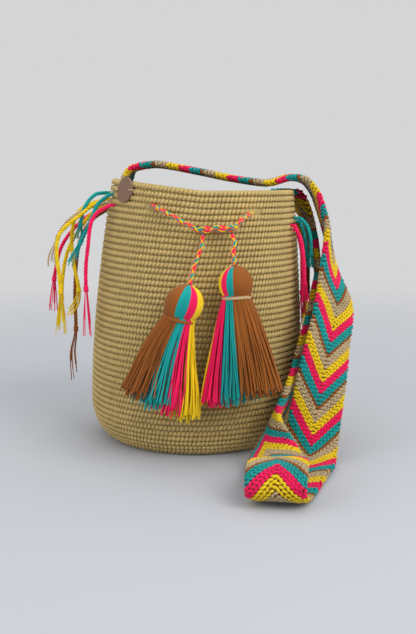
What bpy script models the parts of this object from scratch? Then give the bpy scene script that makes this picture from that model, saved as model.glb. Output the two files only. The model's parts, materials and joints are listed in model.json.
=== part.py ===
"""A crocheted bucket bag with a woven chevron shoulder strap, a braided drawstring and two
yarn tassels. Metres, +Z up. The origin is the centre of the base, on the surface that the
bag stands on; the front faces -Y."""

import math

import bmesh
import bpy
from mathutils import Vector

# Bag body: single crochet rows worked round and round into a bucket
BASE_RADIUS = 0.088
WIDEST_RADIUS = 0.1145
CORNER_HEIGHT = 0.042
RIM_RADIUS = 0.0964
RIM_HEIGHT = 0.2665
WALL = 0.004
FLOOR_THICKNESS = 0.005
TAPER_POWER = 1.78
LEAN = 0.0078
LEFT_LIFT = 0.012
BACK_DROP = 0.006
SEAT_DIP = 0.013
SEAT_SPREAD = 24.0
ROW_PITCH = 0.006
ROW_DEPTH = 0.0015
BODY_SIDES = 24
INNER_RINGS = 7

# Where soft pieces lie against each other, they keep this gap
GAP = 0.0003

# How finely curves are sampled before their points are spaced evenly
CURVE_STEPS = 24
PROFILE_STEPS = 400
STRAP_SAMPLES = 700

# Shoulder strap: one flat woven band with V-shaped colour rows
STRAP_WIDTH = 0.052
STRAP_THICKNESS = 0.0074
STRAP_EDGE = 0.0040
STRAP_GROOVE = 0.0007
CHEVRON_DROP = 0.034
STRIPES = (("yellow", 0.013), ("pink", 0.0115), ("teal", 0.012), ("brown and beige", 0.0165))
LEFT_SEAT_ANGLE = 176.0
RIGHT_SEAT_ANGLE = 22.0
LEFT_TUCK = 0.022
RIGHT_TUCK = 0.012
RIM_CLEARANCE = 0.0084
SEAT_CLEARANCE = 0.0018
ROLL_CENTRE = (0.0700, -0.2480, 0.0200)
ROLL_REACH = 0.075
ROLL_FLATTENING = 0.6

# Drawstring, threaded through four slots in the wall and half-knotted in front
CORD_DIAMETER = 0.0046
EYELET_LENGTH = 0.019
EYELET_HEIGHT = 0.0070
FRONT_LEFT_EYELET = 240.0
FRONT_RIGHT_EYELET = 301.0
BACK_LEFT_EYELET = 120.0
BACK_RIGHT_EYELET = 60.0
EYELET_HEIGHT_LEFT = 0.2510
EYELET_HEIGHT_RIGHT = 0.2460
EYELET_HEIGHT_BACK = 0.2360
STRING_HEIGHT_INSIDE = 0.2230
THREADING_ARC = 0.022
STRING_STEP = 10.0
LEFT_FRONT_ROUTE = ((-0.0100, -0.1100, 0.2360), (-0.0225, -0.1075, 0.2430))
RIGHT_FRONT_ROUTE = ((0.0465, -0.1030, 0.2390),)
KNOT_LEFT = (0.0035, -0.1092, 0.2290)
KNOT_RIGHT = (0.0385, -0.1085, 0.2310)
KNOT_TURNS = 1.25

# Hanging ends of the drawstring; the first point is the pivot at the knot, the last at the tassel
LEFT_CORD_ROUTE = ((0.0080, -0.1100, 0.2248), (0.0064, -0.1140, 0.2130), (0.0020, -0.1200, 0.2010),
                   (-0.0016, -0.1255, 0.1900), (-0.0042, -0.1300, 0.1790))
RIGHT_CORD_ROUTE = ((0.0352, -0.1100, 0.2262), (0.0384, -0.1138, 0.2170), (0.0372, -0.1180, 0.2080),
                    (0.0384, -0.1225, 0.1965))

# Tassels: four bunches of yarn side by side, tied at a waist
TASSEL_CLEARANCE = 0.0008
TASSEL_HEM_DEPTH = 0.0195
TASSEL_SKIRT_TOP = 0.0035
TASSEL_FLUTE = 0.05
TASSEL_STACK_ANGLE = 35.0
BUNCHES = (("brown", 0.0, 64.0, 0.0), ("teal", 64.0, 84.0, 0.005),
           ("pink", 84.0, 104.0, 0.008), ("yellow", 104.0, 180.0, 0.011))
BINDING_DIAMETER = 0.0013
BINDING_SIDES = 16
LEFT_TASSEL = {"side": -1, "hem": (-0.0345, -0.1345, 0.0640), "head": 0.0183, "head_height": 0.0330,
               "waist": 0.0134, "hem_width": 0.0400, "bow": 0.0030}
RIGHT_TASSEL = {"side": 1, "hem": (0.0462, -0.1345, 0.0690), "head": 0.0163, "head_height": 0.0295,
                "waist": 0.0122, "hem_width": 0.0400, "bow": 0.0}

# Round tag, sewn to the rim at front left
TAG_DIAMETER = 0.026
TAG_THICKNESS = 0.0025
TAG_ANGLE = 218.0
TAG_HEIGHT = 0.2665
TAG_HOLE_DIAMETER = 0.0026
TAG_HOLE_SPACING = 0.0190
THREAD_DIAMETER = 0.0012

# Cord ends of the strap, which hang outside both sides
FRINGE_DIAMETER = 0.0042
FRINGE_STEP = 0.016

COLOURS = {
    "beige": (0.42, 0.33, 0.19),
    "brown": (0.23, 0.09, 0.03),
    "teal": (0.01, 0.26, 0.26),
    "pink": (0.85, 0.01, 0.09),
    "yellow": (0.80, 0.58, 0.01),
    "strap": (0.75, 0.40, 0.10),
    "cord": (0.85, 0.25, 0.08),
    "tag": (0.13, 0.07, 0.035),
}


def material(colour, roughness=0.9):
    """A plain finish in one of the yarn colours."""
    found = bpy.data.materials.get(colour)
    if found:
        return found
    made = bpy.data.materials.new(colour)
    made.use_nodes = True
    shader = made.node_tree.nodes["Principled BSDF"]
    shader.inputs["Base Color"].default_value = (*COLOURS[colour], 1.0)
    shader.inputs["Roughness"].default_value = roughness
    shader.inputs["Metallic"].default_value = 0.0
    return made


def add_object(name, mesh, colour):
    """Puts a mesh into the scene under its node's name."""
    piece = bpy.data.objects.new(name, mesh)
    bpy.context.scene.collection.objects.link(piece)
    mesh.materials.append(material(colour))
    return piece


def loft(name, rings, colour):
    """A closed skin through rings that all have the same number of points."""
    bm = bmesh.new()
    loops = [[bm.verts.new(point) for point in ring] for ring in rings]
    count = len(rings[0])
    for lower, upper in zip(loops, loops[1:]):
        for i in range(count):
            j = (i + 1) % count
            bm.faces.new((lower[i], lower[j], upper[j], upper[i]))
    bm.faces.new(list(reversed(loops[0])))
    bm.faces.new(loops[-1])
    bmesh.ops.recalc_face_normals(bm, faces=bm.faces)
    mesh = bpy.data.meshes.new(name)
    bm.to_mesh(mesh)
    bm.free()
    return add_object(name, mesh, colour)


def smooth_curve(points, count):
    """Evenly spaced points on a Catmull-Rom curve through the given points (any dimension)."""
    points = [tuple(point) for point in points]
    size = len(points[0])
    first = tuple(2 * a - b for a, b in zip(points[0], points[1]))
    last = tuple(2 * a - b for a, b in zip(points[-1], points[-2]))
    ends = [first] + points + [last]
    dense = []
    for p0, p1, p2, p3 in zip(ends, ends[1:], ends[2:], ends[3:]):
        for step in range(CURVE_STEPS):
            t = step / CURVE_STEPS
            dense.append(tuple(
                0.5 * (2 * p1[i] + (p2[i] - p0[i]) * t
                       + (2 * p0[i] - 5 * p1[i] + 4 * p2[i] - p3[i]) * t * t
                       + (3 * p1[i] - p0[i] - 3 * p2[i] + p3[i]) * t * t * t)
                for i in range(size)))
    dense.append(points[-1])
    lengths = [0.0]
    for a, b in zip(dense, dense[1:]):
        lengths.append(lengths[-1] + math.dist(a[:3], b[:3]))
    spaced = []
    k = 0
    for index in range(count):
        target = lengths[-1] * index / (count - 1)
        while k < len(lengths) - 2 and lengths[k + 1] < target:
            k += 1
        part = (target - lengths[k]) / max(lengths[k + 1] - lengths[k], 1e-9)
        spaced.append(tuple(a + (b - a) * part for a, b in zip(dense[k], dense[k + 1])))
    return spaced, lengths[-1]


def tube(name, points, diameter, colour, sides_level=2):
    """A plain round cord along the points, with flat ends."""
    curve = bpy.data.curves.new(name, "CURVE")
    curve.dimensions = "3D"
    curve.bevel_depth = diameter / 2
    curve.bevel_resolution = sides_level
    curve.use_fill_caps = True
    spline = curve.splines.new("POLY")
    spline.points.add(len(points) - 1)
    for knot, point in zip(spline.points, points):
        knot.co = (*point[:3], 1.0)
    piece = bpy.data.objects.new(name, curve)
    bpy.context.scene.collection.objects.link(piece)
    curve.materials.append(material(colour))
    return piece


# Shape of the bag body

def body_radius(z):
    """Outer radius of the body, between ridge and groove, at a height."""
    if z < CORNER_HEIGHT:
        rise = max(0.0, z) / CORNER_HEIGHT
        return BASE_RADIUS + (WIDEST_RADIUS - BASE_RADIUS) * math.sqrt(1 - (1 - rise) ** 2)
    part = (z - CORNER_HEIGHT) / (RIM_HEIGHT - CORNER_HEIGHT)
    return WIDEST_RADIUS - (WIDEST_RADIUS - RIM_RADIUS) * part ** TAPER_POWER


def facet_depth(angle=180.0 / BODY_SIDES):
    """How far a flat side of the body lies inside its true round, by default at its middle."""
    half = math.pi / BODY_SIDES
    off_middle = math.radians(angle) % (2 * half) - half
    return WIDEST_RADIUS * (1 - math.cos(half) / math.cos(off_middle))


def body_centre(z):
    """How far the body leans to the right at a height."""
    part = max(0.0, (z - CORNER_HEIGHT) / (RIM_HEIGHT - CORNER_HEIGHT))
    return LEAN * part ** 1.5


def rim_height(angle):
    """The soft rim is highest at the left and sinks where the strap passes over it."""
    turn = math.radians(angle)
    away = (angle - RIGHT_SEAT_ANGLE + 180) % 360 - 180
    dip = SEAT_DIP * math.exp(-(away / SEAT_SPREAD) ** 4)
    return (RIM_HEIGHT + LEFT_LIFT * max(0.0, -math.cos(turn))
            - BACK_DROP * max(0.0, math.sin(turn)) - dip)


def lifted_height(angle, row):
    """Height of a row at an angle: the upper rows follow the uneven rim."""
    return row * (1 + (rim_height(angle) / RIM_HEIGHT - 1) * (row / RIM_HEIGHT) ** 2)


def around(angle, z, offset=0.0):
    """The point at an angle and height, offset outwards from the body's surface."""
    row = z
    for _ in range(8):
        row += z - lifted_height(angle, row)
    turn = math.radians(angle)
    radius = body_radius(row) + offset
    return Vector((body_centre(row) + radius * math.cos(turn), radius * math.sin(turn), z))


def profile_heights():
    """Heights of the crochet rows, equally spaced along the curved side of the body."""
    levels = [RIM_HEIGHT * i / PROFILE_STEPS for i in range(PROFILE_STEPS + 1)]
    path = [(body_radius(level), level) for level in levels]
    lengths = [0.0]
    for a, b in zip(path, path[1:]):
        lengths.append(lengths[-1] + math.dist(a, b))
    rows = round(lengths[-1] / ROW_PITCH)
    heights = []
    k = 0
    for half in range(2 * rows + 1):
        target = lengths[-1] * half / (2 * rows)
        while k < PROFILE_STEPS - 1 and lengths[k + 1] < target:
            k += 1
        part = (target - lengths[k]) / (lengths[k + 1] - lengths[k])
        heights.append(path[k][1] + (path[k + 1][1] - path[k][1]) * part)
    return heights


def body_ring(row, offset):
    """One ring of points round the body."""
    ring = []
    radius = body_radius(row) + offset
    for side in range(BODY_SIDES):
        angle = 360.0 * side / BODY_SIDES
        turn = math.radians(angle)
        ring.append(Vector((body_centre(row) + radius * math.cos(turn), radius * math.sin(turn),
                            lifted_height(angle, row))))
    return ring


def make_body():
    """The bucket: ridged outside, plain inside, with a flat base and four cord slots."""
    heights = profile_heights()
    rings = []
    for index, z in enumerate(heights):
        ridge = ROW_DEPTH / 2 if index % 2 else -ROW_DEPTH / 2
        rings.append(body_ring(z, 0.0 if index == 0 else ridge))
    rings[-1] = body_ring(RIM_HEIGHT, -ROW_DEPTH)
    for step in range(INNER_RINGS, -1, -1):
        z = FLOOR_THICKNESS + (RIM_HEIGHT - FLOOR_THICKNESS) * step / INNER_RINGS
        rings.append(body_ring(z, -WALL))
    body = loft("bag_body", rings, "beige")
    for name, angle in (("slot_front_left", FRONT_LEFT_EYELET), ("slot_back_left", BACK_LEFT_EYELET),
                        ("slot_front_right", FRONT_RIGHT_EYELET), ("slot_back_right", BACK_RIGHT_EYELET)):
        cutter = slot_cutter(name, angle, string_level(angle))
        cut = body.modifiers.new(name, "BOOLEAN")
        cut.operation = "DIFFERENCE"
        cut.solver = "EXACT"
        cut.object = cutter
    return body


def slot_cutter(name, angle, z):
    """A flat-oval block that cuts one slot through the wall."""
    centre = around(angle, z, -WALL / 2)
    turn = math.radians(angle)
    outwards = Vector((math.cos(turn), math.sin(turn), 0.0))
    along = Vector((-math.sin(turn), math.cos(turn), 0.0))
    half = EYELET_LENGTH / 2 - EYELET_HEIGHT / 2
    outline = []
    for end, start in ((1, -90), (-1, 90)):
        for step in range(5):
            bend = math.radians(start + 45 * step)
            outline.append(along * (end * half + EYELET_HEIGHT / 2 * math.cos(bend))
                           + Vector((0, 0, EYELET_HEIGHT / 2 * math.sin(bend))))
    depth = WALL * 2
    rings = [[centre + point + outwards * reach for point in outline] for reach in (-depth, depth)]
    cutter = loft(name, rings, "beige")
    cutter.hide_render = True
    cutter.display_type = "WIRE"
    return cutter


# Shoulder strap

def seat_point(angle, z):
    """Centre of the strap where it is sewn flat against the inside of the wall."""
    sagitta = RIM_RADIUS - math.sqrt(RIM_RADIUS ** 2 - (STRAP_WIDTH / 2) ** 2)
    return around(angle, z, -WALL - sagitta - facet_depth() - STRAP_THICKNESS / 2 - SEAT_CLEARANCE)


def tangent(angle):
    """Level direction along the wall at an angle."""
    turn = math.radians(angle)
    return Vector((-math.sin(turn), math.cos(turn), 0.0))


def strap_stations():
    """Centre line of the strap, with the direction of its width at each place."""
    left = tangent(LEFT_SEAT_ANGLE) * -1
    right = tangent(RIGHT_SEAT_ANGLE) * -1
    left_rim = rim_height(LEFT_SEAT_ANGLE)
    right_rim = rim_height(RIGHT_SEAT_ANGLE)
    over_rim = right_rim + STRAP_THICKNESS / 2 + RIM_CLEARANCE
    inside_left = seat_point(LEFT_SEAT_ANGLE, left_rim - LEFT_TUCK)
    inside_right = seat_point(RIGHT_SEAT_ANGLE, right_rim - RIGHT_TUCK)
    top_right = seat_point(RIGHT_SEAT_ANGLE, right_rim)
    on_rim = around(RIGHT_SEAT_ANGLE, right_rim, -WALL / 2)
    turn = math.radians(RIGHT_SEAT_ANGLE)
    outwards = Vector((math.cos(turn), math.sin(turn), 0.0))
    across = (0.0, 1.0, 0.0)
    return [
        (inside_left, left),
        (seat_point(LEFT_SEAT_ANGLE, left_rim - 0.0060), left),
        (seat_point(LEFT_SEAT_ANGLE, left_rim) + Vector((0.0010, 0.0, 0.0020)), left),
        ((-0.0680, 0.0050, 0.2885), across),
        ((-0.0500, 0.0050, 0.2925), across),
        ((-0.0330, 0.0050, 0.2920), across),
        ((0.0045, 0.0050, 0.2850), across),
        ((0.0365, 0.0040, 0.2785), across),
        ((0.0700, 0.0030, 0.2735), across),
        ((0.0840, 0.0020, 0.2745), across),
        ((0.1000, 0.0010, 0.2790), across),
        ((0.1155, -0.0010, 0.2765), across),
        ((0.1255, -0.0040, 0.2660), across),
        ((0.1325, -0.0090, 0.2500), across),
        ((0.1400, -0.0200, 0.2200), (0.08, 1.0, 0.0)),
        ((0.1420, -0.0420, 0.1830), (0.40, 0.92, 0.0)),
        ((0.1440, -0.0600, 0.1560), (0.70, 0.71, 0.0)),
        ((0.1400, -0.0750, 0.1360), (0.79, 0.61, 0.0)),
        ((0.1350, -0.0860, 0.1170), (0.85, 0.53, 0.0)),
        ((0.1305, -0.0950, 0.0980), (0.91, 0.41, 0.0)),
        ((0.1265, -0.1020, 0.0800), (0.96, 0.28, 0.0)),
        ((0.1230, -0.1070, 0.0600), (0.98, 0.17, 0.0)),
        ((0.1190, -0.1110, 0.0400), (1.0, 0.08, 0.0)),
        ((0.1160, -0.1160, 0.0220), (1.0, 0.0, 0.0)),
        ((0.1130, -0.1250, 0.0096), (1.0, -0.05, 0.0)),
        ((0.1085, -0.1420, 0.0046), (0.99, -0.10, 0.02)),
        ((0.0985, -0.1680, 0.0046), (0.99, -0.12, 0.02)),
        ((0.0870, -0.2000, 0.0046), (0.99, -0.14, 0.0)),
        ((0.0770, -0.2270, 0.0052), (0.99, -0.15, 0.0)),
        ((0.0715, -0.2440, 0.0110), (0.99, -0.15, 0.0)),
        (ROLL_CENTRE, (0.99, -0.15, 0.0)),
        ((0.0712, -0.2410, 0.0290), (0.99, -0.15, 0.0)),
        ((0.0738, -0.2260, 0.0325), (0.99, -0.15, 0.0)),
        ((0.0755, -0.2060, 0.0300), (0.99, -0.12, 0.04)),
        ((0.0750, -0.1840, 0.0225), (0.98, -0.08, 0.16)),
        ((0.0725, -0.1640, 0.0195), (0.90, -0.08, 0.42)),
        ((0.0705, -0.1460, 0.0230), (0.70, -0.20, 0.66)),
        ((0.0720, -0.1290, 0.0310), (0.38, -0.52, 0.70)),
        ((0.0790, -0.1120, 0.0420), (0.02, -0.82, 0.52)),
        ((0.0905, -0.0960, 0.0560), (-0.22, -0.90, 0.32)),
        ((0.1020, -0.0790, 0.0740), (-0.32, -0.93, 0.14)),
        ((0.1105, -0.0640, 0.0940), (-0.33, -0.94, 0.0)),
        ((0.1180, -0.0490, 0.1160), (-0.30, -0.95, 0.0)),
        ((0.1240, -0.0360, 0.1360), (-0.26, -0.96, 0.0)),
        ((0.1290, -0.0200, 0.1560), (-0.20, -0.98, 0.0)),
        ((0.1325, -0.0060, 0.1760), (-0.12, -0.99, 0.0)),
        ((0.1320, 0.0060, 0.1920), (-0.05, -1.0, 0.0)),
        ((0.1295, 0.0200, 0.2130), (0.0, -1.0, 0.0)),
        ((0.1245, 0.0280, 0.2330), (0.10, -0.99, 0.0)),
        ((0.1165, 0.0345, 0.2500), (0.25, -0.96, 0.0)),
        ((0.1080, 0.0380, 0.2585), right),
        ((on_rim.x, on_rim.y, over_rim), right),
        (top_right + outwards * 0.0016 + Vector((0.0, 0.0, 0.0052)), right),
        (top_right, right),
        (inside_right, right),
    ]


def strap_frames():
    """Evenly spaced places along the strap, each with its width and face directions."""
    rows = [(*point, *width) for point, width in strap_stations()]
    spaced, length = smooth_curve(rows, STRAP_SAMPLES)
    frames = []
    for index, row in enumerate(spaced):
        before = Vector(spaced[max(index - 1, 0)][:3])
        after = Vector(spaced[min(index + 1, STRAP_SAMPLES - 1)][:3])
        forward = (after - before).normalized()
        width = Vector(row[3:])
        width = (width - forward * width.dot(forward)).normalized()
        frames.append((Vector(row[:3]), width, forward.cross(width)))
    return frames, length


def strap_rows(length):
    """Distances along the strap of the grooves between colour rows and the crests on them."""
    places = [(0.0, 0.0)]
    at = 0.0
    index = 0
    while at < length - STRIPES[0][1] / 2:
        height = STRIPES[index % len(STRIPES)][1]
        places.append((at + height / 2, 1.0))
        at += height
        places.append((at, 0.0))
        index += 1
    scale = length / at
    return [(place * scale, crest) for place, crest in places]


def make_strap():
    """Each ring of the strap's skin is a V across the band, so the colour rows stand out."""
    frames, length = strap_frames()
    roll = min(range(len(frames)), key=lambda k: (frames[k][0] - Vector(ROLL_CENTRE)).length)
    roll_at = length * roll / (len(frames) - 1)

    def section(place, crest):
        ramp = min(1.0, place / (2 * CHEVRON_DROP), (length - place) / (2 * CHEVRON_DROP))
        ramp *= 1 - ROLL_FLATTENING * math.exp(-((place - CHEVRON_DROP / 2 - roll_at) / ROLL_REACH) ** 2)
        face = STRAP_THICKNESS / 2 - (0.0 if crest else STRAP_GROOVE)
        edge = STRAP_EDGE / 2
        across = ((-1.0, edge), (-0.72, face), (0.0, face), (0.72, face), (1.0, edge))
        outline = [(u, rise) for u, rise in across] + [(u, -rise) for u, rise in reversed(across)]
        ring = []
        for u, rise in outline:
            shifted = place - CHEVRON_DROP * abs(u) * ramp
            centre, width, face_out = frames[round(shifted / length * (len(frames) - 1))]
            ring.append(centre + width * (u * STRAP_WIDTH / 2) + face_out * rise)
        return ring

    rings = [section(place, crest) for place, crest in strap_rows(length)]
    return loft("shoulder_strap", rings, "strap")


# Drawstring

def string_level(angle):
    """Height of the drawstring: it sinks a little where it runs inside the two sides."""
    if 90.0 < angle < 270.0:
        start, end, front = BACK_LEFT_EYELET, FRONT_LEFT_EYELET, EYELET_HEIGHT_LEFT
    else:
        angle = (angle + 180.0) % 360.0 - 180.0
        start, end, front = BACK_RIGHT_EYELET, FRONT_RIGHT_EYELET - 360.0, EYELET_HEIGHT_RIGHT
    part = min(1.0, max(0.0, (angle - start) / (end - start)))
    level = EYELET_HEIGHT_BACK + (front - EYELET_HEIGHT_BACK) * part
    low = STRING_HEIGHT_INSIDE - (EYELET_HEIGHT_BACK + front) / 2
    return level + low * math.sin(math.pi * part) ** 2


def string_point(angle):
    """The drawstring runs outside between the front slots and between the back slots."""
    outside = ROW_DEPTH / 2 + CORD_DIAMETER / 2 + 2 * GAP
    inside = -WALL - CORD_DIAMETER / 2 - facet_depth() - 2 * GAP
    half = math.degrees(THREADING_ARC / 2 / RIM_RADIUS)
    turn = angle % 360.0
    out = 0.0
    for first, last in ((FRONT_LEFT_EYELET, FRONT_RIGHT_EYELET), (BACK_RIGHT_EYELET, BACK_LEFT_EYELET)):
        into = min(1.0, max(0.0, (turn - first + half) / (2 * half)))
        away = min(1.0, max(0.0, (last + half - turn) / (2 * half)))
        share = min(into, away)
        out = max(out, share * share * (3 - 2 * share))
    return around(turn, string_level(turn), inside + (outside - inside) * out)


def make_drawstring():
    """The loop through the wall; its two ends meet the knot in front."""
    left_end = Vector(KNOT_LEFT) - Vector((CORD_DIAMETER * 0.5, 0.0, 0.0))
    right_end = Vector(KNOT_RIGHT) + Vector((CORD_DIAMETER * 0.5, 0.0, 0.0))
    near = (-8.0, -5.5, -3.5, -1.2, 1.2, 3.5, 5.5, 8.0)
    slots = (FRONT_LEFT_EYELET, BACK_LEFT_EYELET, BACK_RIGHT_EYELET, FRONT_RIGHT_EYELET - 360.0)
    angles = []
    for slot, following in zip(slots, slots[1:] + (None,)):
        angles += [slot - step for step in near]
        if following is not None:
            span = slot - following - 2 * near[-1]
            count = max(1, round(span / STRING_STEP))
            angles += [slot - near[-1] - span * step / count for step in range(1, count)]
    loop = [string_point(angle) for angle in angles]
    left_front, _ = smooth_curve([left_end, *map(Vector, LEFT_FRONT_ROUTE), loop[0]], 5)
    right_front, _ = smooth_curve([loop[-1], *map(Vector, RIGHT_FRONT_ROUTE), right_end], 3)
    points = left_front[:-1] + [tuple(point) for point in loop] + right_front[1:]
    return tube("drawstring", points, CORD_DIAMETER, "cord")


def make_knot():
    """The half knot: both ends of the drawstring wound round each other."""
    start = Vector(KNOT_LEFT)
    end = Vector(KNOT_RIGHT)
    forward = (end - start).normalized()
    side = forward.cross(Vector((0.0, 0.0, 1.0))).normalized()
    up = side.cross(forward)
    rings = []
    steps = 14
    for step in range(steps + 1):
        part = step / steps
        twist = 2 * math.pi * KNOT_TURNS * part
        taper = 1.0 if 0 < step < steps else 0.75
        ring = []
        for side_index in range(12):
            turn = 2 * math.pi * side_index / 12
            lobe = CORD_DIAMETER / 2 * (1.05 + 0.75 * abs(math.cos(turn)) ** 1.5) * taper
            around_axis = turn + twist
            ring.append(start + (end - start) * part + side * (lobe * math.cos(around_axis))
                        + up * (lobe * math.sin(around_axis)))
        rings.append(ring)
    return loft("drawstring_knot", rings, "cord")


# Tassels

def tassel_axes(top, hem):
    """Down along the tassel, across it and out from the bag."""
    down = (Vector(hem) - Vector(top)).normalized()
    out = Vector((0.0, -1.0, 0.0))
    out = (out - down * out.dot(down)).normalized()
    across = out.cross(down).normalized()
    return down, across, out


def tassel_levels(shape, length):
    """Distance down, half width, half depth and fluting at each level of the yarn."""
    head = shape["head"]
    waist_at = shape["head_height"]
    waist = shape["waist"]
    clear = TASSEL_CLEARANCE
    waist_angle = math.pi - math.asin(waist / head)
    half_height = (waist_at - clear) / (1 - math.cos(waist_angle))
    levels = []
    for part in (0.10, 0.28, 0.47, 0.66, 0.84, 1.0):
        turn = waist_angle * part
        radius = head * math.sin(turn)
        levels.append((clear + half_height * (1 - math.cos(turn)), radius, radius, 0.0))
    skirt_top = waist_at + TASSEL_SKIRT_TOP
    for part in (0.0, 0.16, 0.45, 0.74, 1.0):
        width = waist * 1.08 + (shape["hem_width"] - waist * 1.08) * part ** 0.85
        depth = waist + (TASSEL_HEM_DEPTH - waist) * part
        flute = TASSEL_FLUTE if part > 0 else 0.0
        levels.append((skirt_top + (length - skirt_top) * part, width, depth, flute))
    return levels


def bunch_outline(first, last):
    """Angles round the section that one bunch covers; both ends of each run lie on its cuts."""
    if first == 0.0:
        steps = 12
        return [(-last + 2 * last * i / steps, i in (0, steps), -1) for i in range(steps + 1)]
    if last == 180.0:
        steps = 10
        span = 360 - 2 * first
        return [(first + span * i / steps, i in (0, steps), 1) for i in range(steps + 1)]
    steps = 2
    angles = [(first + (last - first) * i / steps, i != 1, 1 if i == 0 else -1) for i in range(steps + 1)]
    return angles + [(-angle, cut, sign) for angle, cut, sign in reversed(angles)]


def make_tassel(side_name, top, shape):
    """Four bunches of yarn lie side by side across the tassel, the last one longest."""
    down, across, out = tassel_axes(top, shape["hem"])
    length = (Vector(shape["hem"]) - Vector(top)).length
    stack = math.radians(TASSEL_STACK_ANGLE)
    towards = (shape["side"] * math.cos(stack), math.sin(stack))
    for colour, first, last, extra in BUNCHES:
        rings = []
        levels = tassel_levels(shape, length)
        hem_at, hem_width, hem_depth, flute = levels[-1]
        if extra > 0:
            levels.append((hem_at + extra, hem_width * 1.02, hem_depth * 1.02, flute))
        for at, half_width, half_depth, flute in levels:
            bow = shape["bow"] * shape["side"] * math.sin(math.pi * min(1.0, at / length)) ** 2
            centre = Vector(top) + down * at + across * bow
            base = math.atan2(half_depth * towards[1], half_width * towards[0])
            ring = []
            for index, (angle, cut, sign) in enumerate(bunch_outline(first, last)):
                turn = base + math.radians(angle)
                radius = 1.0 - (flute if cut or index % 2 == 0 else 0.0)
                u = radius * half_width * math.cos(turn)
                v = radius * half_depth * math.sin(turn)
                if cut:
                    u -= towards[0] * GAP * 0.6 * sign
                    v -= towards[1] * GAP * 0.6 * sign
                ring.append(centre + across * u + out * v)
            rings.append(ring)
        loft(f"{side_name}_tassel_{colour}_yarn", rings, colour)
    waist_at = shape["head_height"]
    bow = shape["bow"] * shape["side"] * math.sin(math.pi * waist_at / length) ** 2
    centre = Vector(top) + down * (waist_at + TASSEL_SKIRT_TOP / 2) + across * bow
    inner = shape["waist"] * 1.08 / math.cos(math.pi / BINDING_SIDES) + GAP
    make_binding(f"{side_name}_tassel_binding", centre, down, across, out, inner)


def make_binding(name, centre, down, across, out, inner):
    """The waist thread: two turns lying side by side, as one ring."""
    bm = bmesh.new()
    thread = BINDING_DIAMETER
    outline = ((0.0, -thread), (thread * 0.75, -thread * 0.8), (thread * 0.35, 0.0),
               (thread * 0.75, thread * 0.8), (0.0, thread))
    sides = BINDING_SIDES
    rings = []
    for index in range(sides):
        turn = 2 * math.pi * index / sides
        outwards = across * math.cos(turn) + out * math.sin(turn)
        rings.append([bm.verts.new(centre + outwards * (inner + rise) + down * shift)
                      for rise, shift in outline])
    count = len(outline)
    for index in range(sides):
        here = rings[index]
        there = rings[(index + 1) % sides]
        for k in range(count):
            n = (k + 1) % count
            bm.faces.new((here[k], here[n], there[n], there[k]))
    bmesh.ops.recalc_face_normals(bm, faces=bm.faces)
    mesh = bpy.data.meshes.new(name)
    bm.to_mesh(mesh)
    bm.free()
    return add_object(name, mesh, "brown")


# Tag

def make_tag():
    """A bare round disc with two holes; a thread through each holds it to the rim."""
    along = tangent(TAG_ANGLE)
    reach = TAG_DIAMETER / 2
    up = (around(TAG_ANGLE, TAG_HEIGHT) - around(TAG_ANGLE, TAG_HEIGHT - reach)).normalized()
    outwards = along.cross(up).normalized()
    lift = ROW_DEPTH / 2 - facet_depth(TAG_ANGLE) + 2 * GAP
    back = around(TAG_ANGLE, TAG_HEIGHT - reach / 2, lift) + up * (reach / 2)

    def disc(name, radius, sides, start, end, centre, bevel):
        rings = []
        for reach, inset in ((start, bevel), (start + bevel, 0.0), (end - bevel, 0.0), (end, bevel)):
            ring = []
            for index in range(sides):
                bend = 2 * math.pi * index / sides
                ring.append(centre + outwards * reach + along * ((radius - inset) * math.cos(bend))
                            + up * ((radius - inset) * math.sin(bend)))
            rings.append(ring)
        return loft(name, rings, "tag")

    tag = disc("round_tag", TAG_DIAMETER / 2, 24, 0.0, TAG_THICKNESS, back, 0.0004)
    for name, sign in (("left", -1), ("right", 1)):
        centre = back + along * (sign * TAG_HOLE_SPACING / 2)
        hole = disc(f"{name}_hole_cutter", TAG_HOLE_DIAMETER / 2, 8, -TAG_THICKNESS,
                    2 * TAG_THICKNESS, centre, 0.0001)
        hole.hide_render = True
        hole.display_type = "WIRE"
        cut = tag.modifiers.new(name, "BOOLEAN")
        cut.operation = "DIFFERENCE"
        cut.solver = "EXACT"
        cut.object = hole
        over = outwards * (TAG_THICKNESS + THREAD_DIAMETER / 2 + GAP)
        edge = TAG_DIAMETER / 2 - TAG_HOLE_SPACING / 2 + THREAD_DIAMETER / 2 + GAP
        outer = along * (sign * edge)
        bottom = outwards * (THREAD_DIAMETER / 2 + GAP)
        route = [centre + bottom, centre + over, centre + over + outer, centre + bottom + outer]
        tube(f"{name}_tag_stitch", route, THREAD_DIAMETER, "beige", 1)


# Cord ends of the strap

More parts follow.
